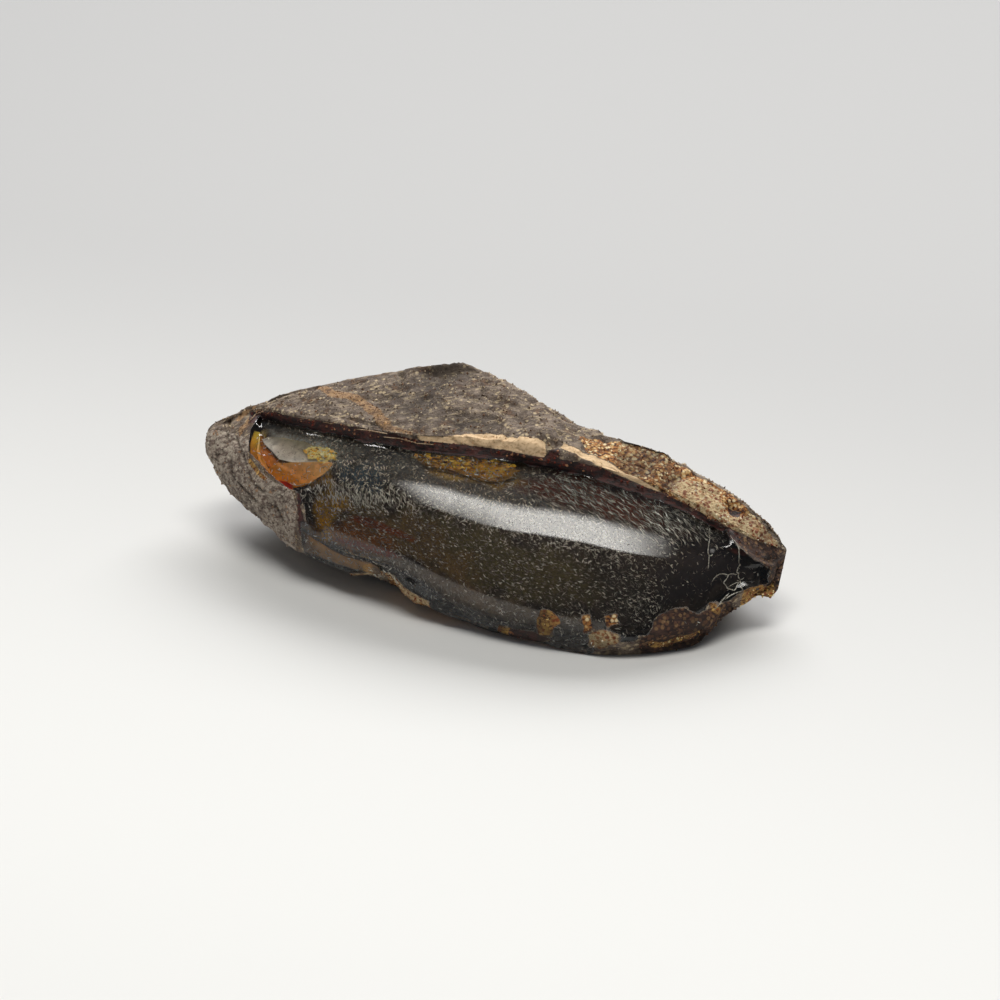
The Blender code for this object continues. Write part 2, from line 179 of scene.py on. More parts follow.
def ridgeAt(points, stations):
    # a ridge's values after x at each station, from its points and the two tips
    points = np.array(points, float)
    tips = np.array([lump["leftTip"], lump["rightTip"]])[:, 3 - points.shape[1]:]
    half = lump["halfLength"]
    rows = np.vstack([[-half, *tips[0]], points, [half, *tips[1]]])
    return smoothThrough(stationOf(rows[:, 0]), rows[:, 1:], stations)


def heading(leanDegrees, side):
    # unit (y, z) along the skin where its normal leans that far up, on the front (-1) or the back (+1)
    lean = np.radians(leanDegrees)
    return np.array([-np.sin(lean), side * np.cos(lean)])


def averaged(ridge, stations, reach):
    # a ridge blended over nearby stations with weights 1, 2, 3, 2, 1, so that the polish runs smoothly
    shifts = np.arange(-2, 3)[:, None] * reach * np.sin(np.pi * stations)
    return sum((3 - abs(n - 2)) / 9.0 * ridge(np.clip(stations + shifts[n], 0.0, 1.0)) for n in range(5))


def shoulderAt(stations):
    # the dome's upper edge: the lip, moved by the cliff's height times (overhang, -1)
    x = -lump["halfLength"] * np.cos(np.pi * stations)
    cliff = np.interp(x, *np.array(lump["cliff"], float).T)[:, None]
    return ridgeAt(lump["lip"], stations) + cliff * np.array([lump["cliffOverhang"], -1.0])


def skinAt(stations, places):
    # the smooth skin: of each section's five cubic Beziers, (1-s)^3 a + 3s(1-s)^2 b + 3s^2(1-s) c + s^3 d
    stations, places = np.broadcast_arrays(stations, places)
    grid = stations.shape
    flat, places = stations.ravel(), places.ravel() % 5.0
    x = -lump["halfLength"] * np.cos(np.pi * flat)
    lip = ridgeAt(lump["lip"], flat)
    foot = averaged(lambda at: ridgeAt(lump["foot"], at), flat, 0.010)
    shoulder = averaged(shoulderAt, flat, 0.028)
    rim, backFoot = ridgeAt(lump["rim"], flat), ridgeAt(lump["backFoot"], flat)
    keel = ridgeAt(lump["keel"], flat)[:, 0]
    crown = np.linalg.norm(lip - rim, axis=1)[:, None] * np.array([0.0, lump["topCrown"]])
    domeChord = np.linalg.norm(foot - shoulder, axis=1)[:, None]
    backChord = np.linalg.norm(rim - backFoot, axis=1)[:, None]
    handleZ = (8.0 * keel - foot[:, 1] - backFoot[:, 1]) / 6.0
    inset = (backFoot[:, 0] - foot[:, 0]) * lump["bellyInset"]
    controls = np.array([
        (rim, rim + (lip - rim) / 3 + crown, rim + (lip - rim) * 2 / 3 + crown, lip),
        (lip, lip + (shoulder - lip) / 3, lip + (shoulder - lip) * 2 / 3, shoulder),
        (shoulder, shoulder + heading(lump["domeLean"][0], -1) * domeChord * lump["domePull"][0],
         foot - heading(lump["domeLean"][1], -1) * domeChord * lump["domePull"][1], foot),
        (foot, np.column_stack([foot[:, 0] + inset, handleZ]),
         np.column_stack([backFoot[:, 0] - inset, handleZ]), backFoot),
        (backFoot, backFoot + heading(lump["backLean"][0], 1) * backChord * lump["backPull"][0],
         rim - heading(lump["backLean"][1], 1) * backChord * lump["backPull"][1], rim),
    ])
    stretch = np.minimum(np.floor(places).astype(int), 4)
    s = (places - stretch)[:, None]
    a, b, c, d = controls[stretch, :, np.arange(len(flat))].transpose(1, 0, 2)
    section = (1 - s) ** 3 * a + 3 * s * (1 - s) ** 2 * b + 3 * s**2 * (1 - s) * c + s**3 * d
    return np.column_stack([x, section]).reshape(*grid, 3)


def girthOf(points):
    # the diagonal of each section's box
    return np.linalg.norm(np.ptp(points[..., 1:], axis=1), axis=-1)[:, None]


def unit(vectors):
    # vectors over their length
    return vectors / np.maximum(np.linalg.norm(vectors, axis=-1, keepdims=True), 1e-9)


def skinFrame(stations, places):
    # unit (along, around, outward) of the skin, from differences of skinAt over a small step each way
    step = 0.003
    stations = np.clip(stations, step, 1 - step)
    along = unit(skinAt(stations + step, places) - skinAt(stations - step, places))
    around = skinAt(stations, places + 4 * step) - skinAt(stations, places - 4 * step)
    outward = unit(np.cross(around, along))
    return along, unit(np.cross(along, outward)), outward


def gridOutward(points):
    # unit normals of a grid, from the cross product of its two directions
    around = np.roll(points, -1, axis=1) - np.roll(points, 1, axis=1)
    return unit(np.cross(around, np.gradient(points, axis=0)))


def toSegment(fromX, fromY, edgeX, edgeY):
    # distance to an edge from points measured from its start; the nearest is a share 0 to 1 along it
    share = np.clip((fromX * edgeX + fromY * edgeY) / (edgeX**2 + edgeY**2), 0.0, 1.0)
    return np.hypot(fromX - share * edgeX, fromY - share * edgeY)


def insideOutline(x, place, outline):
    # how far a point lies inside a closed outline: its least distance to an edge, below 0 outside
    y = place * stretchLength
    corners = [(a, b * stretchLength) for a, b in outline]
    nearest = np.full(x.shape, np.inf)
    inside = np.zeros(x.shape, bool)
    for (ax, ay), (bx, by) in zip(corners, corners[1:] + corners[:1]):
        nearest = np.minimum(nearest, toSegment(x - ax, y - ay, bx - ax, by - ay))
        if by != ay:
            inside ^= ((ay <= y) != (by <= y)) & (x < ax + (y - ay) / (by - ay) * (bx - ax))
    return np.where(inside, nearest, -nearest)


def windowDepth(points, place):
    # how far inside a polished window, with the outlines' coarse and fine wander, below 0 on the rind
    wander = sum(valueNoise(points, size, seed) * width
                 for seed, (size, width) in ((5.0, relief["wobble"]), (6.0, relief["fineWobble"])))
    pastRim = np.where(place < 1.0, place + 5.0, place)  # the back window runs a little over the rim
    depth = np.maximum(insideOutline(points[..., 0], place, frontWindow),
                       insideOutline(points[..., 0], pastRim, backWindow))
    return depth + wander


def polishStep(depth, place):
    # the windows' step, of which a smooth step's share is reached at that depth inside their outlines
    byCliff, elsewhere = relief["stepWidth"]
    width = byCliff + (elsewhere - byCliff) * smoothstep(2.05, 2.25, place)
    return smoothstep(0.0, width, depth) * relief["step"]


def rindRelief(points):
    # lumps, knobs and terraces, less creases where another noise crosses zero, with finer lumps on top
    lumps = valueNoise(points, relief["lump"][0], 1.0) * relief["lump"][1]
    knobs = valueNoise(points, relief["knob"][0], 2.0) * relief["knob"][1]
    size, levels, stepHeight, tread = relief["terrace"]
    level = valueNoise(points, size, 4.0) * levels
    rise = smoothstep(tread, 1.0, level - np.floor(level))
    terraces = (np.floor(level) + rise + tread / 2) * stepHeight
    total = lumps + knobs + terraces
    for seed, (size, depth, width) in ((3.0, relief["crease"]), (7.0, relief["fineCrease"])):
        total -= (1.0 - smoothstep(0.0, width, np.abs(valueNoise(points, size, seed)))) * depth
    stretched = points * np.array([0.6, 1.0, 1.0])  # grains are drawn out along the lump
    for number, (size, height) in enumerate(relief["grains"]):
        total += valueNoise(stretched, size, 11.0 + number) * height
    return total


def creaseShare(points, place):
    # 1 on the drawn cracks and crevices of the rind, falling to 0 at their half width, with a wandering edge
    x, nearest = points[..., 0], np.full(points.shape[:-1], np.inf)
    for line in relief["creaseLines"]:
        for (ax, aPlace), (bx, bPlace) in zip(line, line[1:]):
            nearest = np.minimum(nearest, toSegment(x - ax, (place - aPlace) * stretchLength, bx - ax,
                                                    (bPlace - aPlace) * stretchLength))
    for size, width, seed in relief["creaseWander"]:
        nearest = nearest + valueNoise(points, size, seed) * width
    return 1.0 - smoothstep(0.0, relief["creaseWidth"], nearest)


def chipDepth(points):
    # each chip is depth (1 - (distance / radius)^2)^2 within its radius
    total = np.zeros(points.shape[:-1])
    for *centre, radius, depth in relief["chips"]:
        distance = np.linalg.norm(points - np.array(centre, float), axis=-1) / radius
        total += depth * np.clip(1.0 - distance**2, 0.0, 1.0) ** 2
    return total


def intoFrame(points):
    # from the ridges' millimetres to the frame's metres
    return (points - np.array([0.0, lump["centreY"], 0.0])) * mm


def srgb(hexText):
    # each channel c to linear: c / 12.92 up to 0.04045, and above it ((c + 0.055) / 1.055)^2.4
    c = np.array([int(hexText[i:i + 2], 16) / 255.0 for i in (1, 3, 5)])
    linear = np.where(c <= 0.04045, c / 12.92, ((c + 0.055) / 1.055) ** 2.4)
    return (*linear.tolist(), 1.0)


def perMetre(size):
    # a texture's scale for a pattern that repeats about every size millimetres
    return 1.0 / (size * mm)


def newMesh(name, points, faces, smooth=True):
    # an object at the origin, with its place in its mesh
    mesh = bpy.data.meshes.new(name)
    mesh.from_pydata(points.reshape(-1, 3).tolist(), [], faces)
    mesh.update()
    if smooth:
        mesh.shade_smooth()
    piece = bpy.data.objects.new(name, mesh)
    bpy.context.scene.collection.objects.link(piece)
    return piece


def giveValues(piece, name, values):
    # one number or one linear colour for each vertex, under a name that the material reads
    kind, field = ("FLOAT", "value") if values.ndim == 1 else ("FLOAT_COLOR", "color")
    if values.ndim == 2:
        values = np.column_stack([values, np.ones(len(values))])
    layer = piece.data.attributes.new(name, kind, "POINT")
    layer.data.foreach_set(field, np.ascontiguousarray(values, np.float32).ravel())


def closedLoft(name, points):
    # a loft through sections whose first and last are drawn together to a point; faces point outwards
    inner = points[1:-1]
    rows, columns = inner.shape[:2]
    allPoints = np.vstack([points[0].mean(axis=0), inner.reshape(-1, 3), points[-1].mean(axis=0)])
    corner = 1 + np.arange(rows * columns).reshape(rows, columns)
    after = np.roll(corner, -1, axis=1)
    quads = np.stack([corner[:-1], after[:-1], after[1:], corner[1:]], axis=-1).reshape(-1, 4)
    last = len(allPoints) - 1
    leftFan = np.column_stack([np.zeros(columns, int), after[0], corner[0]])
    rightFan = np.column_stack([np.full(columns, last), corner[-1], after[-1]])
    return newMesh(name, allPoints, quads.tolist() + leftFan.tolist() + rightFan.tolist())


def loftValues(values):
    # a grid's values in the order of closedLoft's vertices
    return np.concatenate([[values[0].mean(axis=0)], values[1:-1].reshape(-1, *values.shape[2:]),
                           [values[-1].mean(axis=0)]])


def addNode(tree, kind, inputs=None, **settings):
    # one node: inputs holds plain values or the sockets that feed it
    node = tree.nodes.new(kind)
    for name, value in settings.items():
        setattr(node, name, value)
    for socket, value in (inputs or {}).items():
        if isinstance(value, bpy.types.NodeSocket):
            tree.links.new(value, node.inputs[socket])
        else:
            node.inputs[socket].default_value = value
    return node


def newMaterial(name):
    # an empty node tree with its output
    material = bpy.data.materials.new(name)
    material.use_nodes = True
    tree = material.node_tree
    tree.nodes.clear()
    return material, tree, tree.nodes.new("ShaderNodeOutputMaterial")


def spot(x, place, centreX, centrePlace, radiusX, radiusRound, turn=0.0):
    # 1 at the middle of an ellipse on the skin and 0 on its edge, falling on below 0 outside
    dx, dy = x - centreX, (place - centrePlace) * stretchLength
    c, s = np.cos(np.radians(turn)), np.sin(np.radians(turn))
    return 1.0 - np.hypot((dx * c + dy * s) / radiusX, (dy * c - dx * s) / radiusRound)


# The camera stands where the photograph was taken from
view = dict(azimuth=18.0, elevation=30.0,  # degrees to the right of the front, and up
            distance=0.450, target=(0.0, -0.00023, 0.013),  # metres
            lens=85.26, sensor=36.0, shift=(0.016, 0.007))


def makeCamera():
    # at the target plus distance (sin a cos e, -cos a cos e, sin e), looking back at it
    a, e = np.radians(view["azimuth"]), np.radians(view["elevation"])
    data = bpy.data.cameras.new("camera")
    data.lens, data.sensor_width = view["lens"], view["sensor"]
    data.shift_x, data.shift_y = view["shift"]
    data.clip_start, data.clip_end = 0.01, 20.0
    camera = bpy.data.objects.new("camera", data)
    outwards = np.array([np.sin(a) * np.cos(e), -np.cos(a) * np.cos(e), np.sin(e)])
    camera.location = np.array(view["target"]) + outwards * view["distance"]
    camera.rotation_euler = (np.pi / 2 - e, 0.0, a)
    bpy.context.scene.collection.objects.link(camera)
    bpy.context.scene.camera = camera


studio = dict(  # metres, and degrees for the turn
    height=0.78, stripSize=(0.76, 0.28), stripCentre=(0.035, 0.014), stripTurn=20.0, stripRadiance=10.3,
    stripFade=(0.26, 0.36, 0.10, 0.35),  # shares that fade at its left, right, front and back
    stripColour="#fffdf8", backSize=(3.4, 1.3), backPlace=(-0.2, 2.4, 1.9), backRadiance=7.6,
    backColour="#fffefd", world="#5c5e61", worldStrength=1.0,
    floorFar="#bfbfbf", floorNear="#e6e6e4", floorFade=(0.13, -0.11),  # y of the far and near colour, which paint the light falling off towards the back
    floorFront=-1.6, floorBack=1.1, wallRadius=0.4, wallHeight=0.45, floorWidth=4.0,
    floorDrop=0.00005,  # the sheet lies this far below the piece, so that they never share a plane
)


def areaLight(name, place, aim, size, radiance, colour, turn=0.0, fade=None):
    # power = radiance pi width height, for a lamp that is as bright from every side in front of it;
    # turn is the degrees that a lamp straight above its aim is turned by
    data = bpy.data.lights.new(name, "AREA")
    data.shape = "RECTANGLE"
    data.size, data.size_y = size
    data.energy = radiance * np.pi * size[0] * size[1]
    data.color = srgb(colour)[:3]
    lamp = bpy.data.objects.new(name, data)
    lamp.location = place
    down = unit(np.array(aim, float) - np.array(place, float))
    turned = np.arctan2(-down[0], down[1]) if down[:2].any() else np.radians(turn)
    lamp.rotation_euler = (np.arccos(-down[2]), 0.0, turned)
    bpy.context.scene.collection.objects.link(lamp)
    if fade:
        # a softbox whose cloth darkens towards its edges: the product of a smooth ramp from each edge
        data.use_nodes = True
        tree = data.node_tree
        spread = addNode(tree, "ShaderNodeSeparateXYZ",
                         {0: addNode(tree, "ShaderNodeNewGeometry").outputs["Parametric"]}).outputs
        strength = 1.0
        for across, start, end in ((spread[0], 0.0, fade[0]), (spread[0], 1.0, 1.0 - fade[1]),
                                   (spread[1], 0.0, fade[2]), (spread[1], 1.0, 1.0 - fade[3])):
            ramp = addNode(tree, "ShaderNodeMapRange", {"Value": across, "From Min": start, "From Max": end},
                           interpolation_type="SMOOTHSTEP").outputs[0]
            strength = addNode(tree, "ShaderNodeMath", {0: strength, 1: ramp},
                               operation="MULTIPLY").outputs[0]
        tree.links.new(strength, tree.nodes["Emission"].inputs["Strength"])


def makeStudio():
    # floor that runs level from front to back and then up in a quarter round: a profile carried along x
    bend = np.linspace(0.0, np.pi / 2, 24)
    radius = studio["wallRadius"]
    profile = np.vstack([[studio["floorFront"], 0.0],
                         np.column_stack([studio["floorBack"] + radius * np.sin(bend),
                                          radius * (1 - np.cos(bend))]),
                         [studio["floorBack"] + radius, studio["wallHeight"]]])
    xs = np.array([-0.5, 0.5]) * studio["floorWidth"]
    points = np.stack([np.column_stack([np.full(len(profile), x), profile]) for x in xs])
    points[..., 2] -= studio["floorDrop"]
    count = len(profile)
    rows = np.arange(count - 1)
    faces = np.column_stack([rows, rows + count, rows + count + 1, rows + 1])
    floor = newMesh("paperSweep", points, faces.tolist())
    # backdrop paper, which looks soft and dull, with painted falloff of light: white in front and pale grey
    # behind
    material, tree, output = newMaterial("mattePaper")
    coordinates = addNode(tree, "ShaderNodeTexCoord").outputs["Object"]
    y = addNode(tree, "ShaderNodeSeparateXYZ", {0: coordinates}).outputs["Y"]
    far, near = studio["floorFade"]
    paintedFalloff = addNode(tree, "ShaderNodeMapRange", {"Value": y, "From Min": far, "From Max": near},
                    interpolation_type="SMOOTHSTEP")
    colour = addNode(tree, "ShaderNodeMix", {0: paintedFalloff.outputs[0], 6: srgb(studio["floorFar"]),
                                             7: srgb(studio["floorNear"])}, data_type="RGBA")
    shader = addNode(tree, "ShaderNodeBsdfPrincipled", {"Base Color": colour.outputs[2], "Roughness": 0.7,
                                                        "Specular IOR Level": 0.2})
    tree.links.new(shader.outputs[0], output.inputs["Surface"])
    floor.data.materials.append(material)
    x, y = studio["stripCentre"]
    areaLight("stripBox", (x, y, studio["height"]), (x, y, 0.0), studio["stripSize"],
              studio["stripRadiance"], studio["stripColour"], studio["stripTurn"], studio["stripFade"])
    areaLight("backFill", studio["backPlace"], (0.0, 0.0, 0.0), studio["backSize"],
              studio["backRadiance"], studio["backColour"])
    world = bpy.data.worlds.new("room")
    world.use_nodes = True
    world.node_tree.nodes["Background"].inputs["Color"].default_value = srgb(studio["world"])
    world.node_tree.nodes["Background"].inputs["Strength"].default_value = studio["worldStrength"]
    bpy.context.scene.world = world
    bpy.context.scene.view_settings.view_transform = "Standard"


makeCamera()
makeStudio()
print("camera, floor and lights are made")

body = dict(rows=460, points=(60, 16, 64, 26, 34))  # sections, and points round each stretch


def bodyGrid():
    # places evenly round each stretch, at sections evenly spaced in station
    stations = np.linspace(0.0, 1.0, body["rows"] + 1)[:, None]
    places = np.concatenate([n + np.arange(count) / count for n, count in enumerate(body["points"])])
    return np.broadcast_arrays(stations, places[None, :])


def bodySurface(stations, places):
    # smooth skin + outward height: relief on the rind, less what is polished off the windows
    bare = skinAt(stations, places)
    depth = windowDepth(bare, places)
    cliff, flush = (1.0 - smoothstep(*edges, depth) for edges in relief["meet"])
    rind = np.where((places > 0.9) & (places < 2.06), cliff, flush)
    fade = smoothstep(0.0, relief["tipFade"], girthOf(bare))
    aboveBase = np.where((places >= 3.0) & (places < 4.0),
                         smoothstep(0.0, relief["baseEdge"], bare[..., 2]), 1.0)
    height = rindRelief(bare) - creaseShare(bare, places) * relief["creaseDepth"]
    raised = (rind * height * fade - chipDepth(bare)) * aboveBase - polishStep(depth, places) * fade
    points = bare + gridOutward(bare) * raised[..., None]
    points[..., 0] = np.clip(points[..., 0], -lump["halfLength"], lump["halfLength"])
    points[..., 2] = np.maximum(points[..., 2], 0.0)
    return bare, points, depth, height, fade


def settle(points):
    # from the ridges' millimetres to the frame; each axis is drawn in by the hair that the finer grid
    # stands outside the CAD box, and nothing passes that box
    low, high = np.array(cadLow), np.array(cadHigh)
    return np.clip(low + (intoFrame(points) - ownLow) / (ownHigh - ownLow) * (high - low), low, high)


stations, places = bodyGrid()
bare, surface, depth, height, tipFade = bodySurface(stations, places)
ownLow, ownHigh = intoFrame(surface).min(axis=(0, 1)), intoFrame(surface).max(axis=(0, 1))
excess = (ownHigh - ownLow) / (np.array(cadHigh) - np.array(cadLow)) - 1.0
print("body fitted by", excess * 100, "per cent")

patchStarts = (0.0, 15.0, 18.0, 50.0, 74.0, 102.0)  # millimetres round the skin at each stretch's start


def patchDepth(x, place, outlines):
    # the greatest of the points' depths inside outlines of (x, place), in real millimetres round the skin
    def measured(at):
        return np.interp(at, np.arange(6.0), patchStarts) / stretchLength
    depths = [insideOutline(x, measured(place), [(a, float(measured(b))) for a, b in outline])
              for outline in outlines]
    return np.max(depths, axis=0)


# Where each crust and stain of the rind lies, as outlines of (x, place)
zones = dict(
    # the left end's crust, painted paler than its own colour to stand in for light that side lacks
    leftCrustPaintedLight=(
        ((-57.6, 2.2), (-52.0, 2.25), (-47.0, 2.30), (-46.0, 2.45), (-40.0, 2.52), (-34.0, 2.53),
         (-32.6, 2.62), (-32.4, 2.9), (-33.0, 3.2), (-57.6, 3.2)),
    ),
    umber=(
        ((39.3, 2.72), (41.5, 2.67), (43.9, 2.66), (46.0, 2.73), (48.0, 2.72), (50.5, 2.78), (52.0, 3.2),
         (38.1, 3.2), (36.4, 2.98), (36.6, 2.86), (38.2, 2.83)),
        ((55.8, 2.74), (57.8, 2.6), (57.8, 4.4), (54.5, 4.2), (55.0, 3.2)),
        ((47.8, 2.02), (50.0, 1.96), (57.6, 1.7), (57.6, 2.75), (56.3, 2.66), (55.7, 2.40), (53.0, 2.26),
         (50.5, 2.17)),
    ),
    tan=(
        ((-12.9, 1.06), (-8.2, 1.16), (-2.7, 0.92), (0.5, 0.86), (7.0, 0.92), (11.5, 0.88), (12.5, 1.29),
         (12.0, 1.67), (7.3, 1.70), (-0.5, 1.68), (-6.2, 1.66), (-11.9, 1.60)),
        ((14.6, 0.93), (18.5, 0.96), (22.4, 1.02), (26.2, 1.46), (30.1, 1.80), (33.0, 1.95), (34.0, 1.7),
         (29.9, 1.10), (25.8, 0.82), (22.0, 0.79), (18.1, 0.80), (14.8, 0.82)),
    ),
    swath=(
        ((-37.8, 0.12), (-32.9, 0.40), (-27.8, 0.52), (-22.8, 0.68), (-18.0, 0.90), (-13.5, 0.97),
         (-13.5, 1.04), (-19.2, 1.0), (-23.6, 0.80), (-28.0, 0.64), (-33.5, 0.55), (-38.0, 0.26)),
        ((-53.0, 2.04), (-51.8, 1.5), (-50.2, 0.3), (-49.2, 0.3), (-50.0, 1.6), (-51.2, 2.1)),
        ((-50.6, 2.22), (-49.4, 2.02), (-48.4, 1.2), (-47.6, 1.2), (-48.6, 2.04), (-49.6, 2.3)),
    ),
    # the red band under the lip: the rind's own dark red, with painted shade of the undercut making it near
    # black
    red=(
        ((-50.0, 1.6), (-40.0, 1.3), (-30.0, 1.08), (-24.0, 1.17), (-18.0, 1.10), (-14.0, 1.60),
         (-12.0, 1.62), (12.0, 1.68), (12.6, 0.97), (14.3, 0.94), (15.0, 1.4), (22.0, 1.15), (26.0, 1.5),
         (30.0, 1.82), (38.0, 1.85), (50.0, 1.95), (50.0, 2.12), (30.0, 2.12), (-49.0, 2.12)),
        ((-33.4, 2.44), (-30.9, 2.50), (-31.4, 2.61), (-30.2, 2.70), (-28.5, 2.80), (-29.6, 2.88),
         (-31.8, 2.80), (-32.4, 2.60)),
        ((12.5, 2.93), (17.6, 2.92), (20.5, 2.95), (16.6, 3.03), (12.0, 3.0)),
        ((46.2, 0.4), (48.8, 0.3), (48.6, 0.6), (47.0, 0.66)),
    ),
    rust=(
        ((16.5, 0.42), (20.0, 0.22), (25.0, 0.05), (36.0, 0.02), (46.0, 0.05), (52.0, 0.2), (56.0, 0.6),
         (55.5, 1.2), (52.0, 1.9), (47.0, 1.9), (40.0, 1.9), (34.0, 1.75), (30.0, 1.1), (25.0, 0.80),
         (19.0, 0.74)),
        ((26.2, 2.75), (27.7, 2.73), (28.3, 2.84), (26.8, 2.87)),
        ((29.8, 2.74), (32.6, 2.71), (33.2, 2.78), (31.0, 2.81)),
        ((-14.0, 2.96), (-8.0, 2.94), (-4.0, 2.97), (8.0, 3.03), (8.0, 3.2), (-14.0, 3.2)),
    ),
    ochre=(
        ((17.9, 2.80), (18.6, 2.75), (20.2, 2.74), (21.8, 2.77), (22.6, 2.82), (21.2, 2.86), (20.6, 2.92),
         (18.4, 2.93)),
        ((10.4, 2.94), (13.0, 2.925), (14.5, 2.96), (12.5, 3.0), (10.0, 2.99)),
        ((-2.8, 2.95), (0.8, 2.94), (3.8, 2.955), (6.0, 2.97), (2.8, 3.03), (-3.0, 3.03)),
        ((52.3, 2.66), (54.5, 2.62), (57.0, 2.8), (56.5, 3.2), (52.0, 3.0)),
        ((47.6, 2.66), (48.4, 2.70), (49.3, 2.80), (48.8, 2.84), (48.0, 2.76)),
        ((38.2, 2.90), (41.3, 2.93), (44.6, 2.87), (46.4, 2.86), (46.0, 2.93), (41.3, 2.99), (38.2, 2.96)),
        ((-45.6, 2.44), (-42.5, 2.505), (-40.3, 2.53), (-41.0, 2.56), (-43.8, 2.54), (-46.2, 2.48)),
    ),
    cream=(
        ((35.5, 0.70), (37.0, 0.42), (40.2, 0.20), (43.5, 0.10), (45.2, 0.60), (47.5, 0.72), (50.5, 0.28),
         (54.0, 0.3), (56.5, 0.6), (56.8, 1.4), (54.5, 1.96), (50.0, 1.9), (46.0, 1.86), (44.0, 1.5),
         (42.6, 1.9), (40.0, 1.95), (37.6, 1.75), (36.0, 1.2)),
        ((27.6, 2.87), (29.0, 2.845), (30.4, 2.83), (33.1, 2.85), (33.0, 2.91), (30.0, 2.95), (28.0, 2.93)),
        ((-14.3, 3.02), (-12.4, 2.93), (-8.6, 2.95), (-5.8, 2.95), (-3.3, 2.96), (-4.0, 3.02), (-9.0, 3.05)),
        ((-28.6, 3.035), (-24.0, 3.065), (-19.0, 3.075), (-14.5, 3.03), (-14.5, 3.09), (-20.0, 3.13),
         (-28.6, 3.10)),
    ),
)
# Thin see-through edge of amber below the dome at the lower left
seeThrough = (((-31.6, 2.70), (-20.0, 2.70), (-14.5, 2.86), (-13.6, 2.96), (-18.5, 3.07), (-24.0, 3.06),
               (-31.4, 3.0)),)
# Those of the crusts that lie in the dome's lower edge, polished flush with it
islands = (*zones["umber"], *zones["ochre"][:2], zones["ochre"][4], zones["red"][2], *zones["rust"][1:3],
           *zones["cream"][1:3])

# Where the clear amber begins and ends
amberEdge = dict(
    broken=((1.9, 0.45, 41.0), (0.8, 0.25, 42.0)),  # size, width and seed of the noises that break it
    # its place below the lip, how much lower it gets, over which x, and the x where it ends
    lip=2.005, lower=0.01, lowering=(10.0, 28.0), lipEnd=47.0,
    thinInset=0.3,  # how far inside its outline the thin edge begins
    fullHollow=1.2,  # depth of relief at which a crease counts in full, for the painted shade in creases
)

bodyPiece = closedLoft("amberBody", settle(surface))
x = bare[..., 0]
brokenEdge = sum(valueNoise(bare, size, seed) * width for size, width, seed in amberEdge["broken"])
lipEdge = amberEdge["lip"] + amberEdge["lower"] * smoothstep(*amberEdge["lowering"], x)
belowLip = np.where((places > 1.0) & (places < 3.0) & (x < amberEdge["lipEnd"]),
                    (places - lipEdge) * stretchLength, np.inf)
# how far inside the clear amber each point is: in a window, below the lip or in the thin edge, off a crust
materialDepth = np.minimum(depth, belowLip + brokenEdge)
materialDepth = np.maximum(materialDepth, patchDepth(x, places, seeThrough) - amberEdge["thinInset"])
materialDepth = np.minimum(materialDepth, -patchDepth(x, places, islands) - brokenEdge)
hollow = np.clip(-height / amberEdge["fullHollow"], -1.0, 1.0)  # above 0 in the rind's creases, where the material paints shade
for name, field in (("windowDepth", materialDepth), ("hollow", hollow),
                    *((zone, patchDepth(x, places, outlines)) for zone, outlines in zones.items())):
    giveValues(bodyPiece, name, loftValues(field))
print("amber body:", len(bodyPiece.data.polygons), "faces")

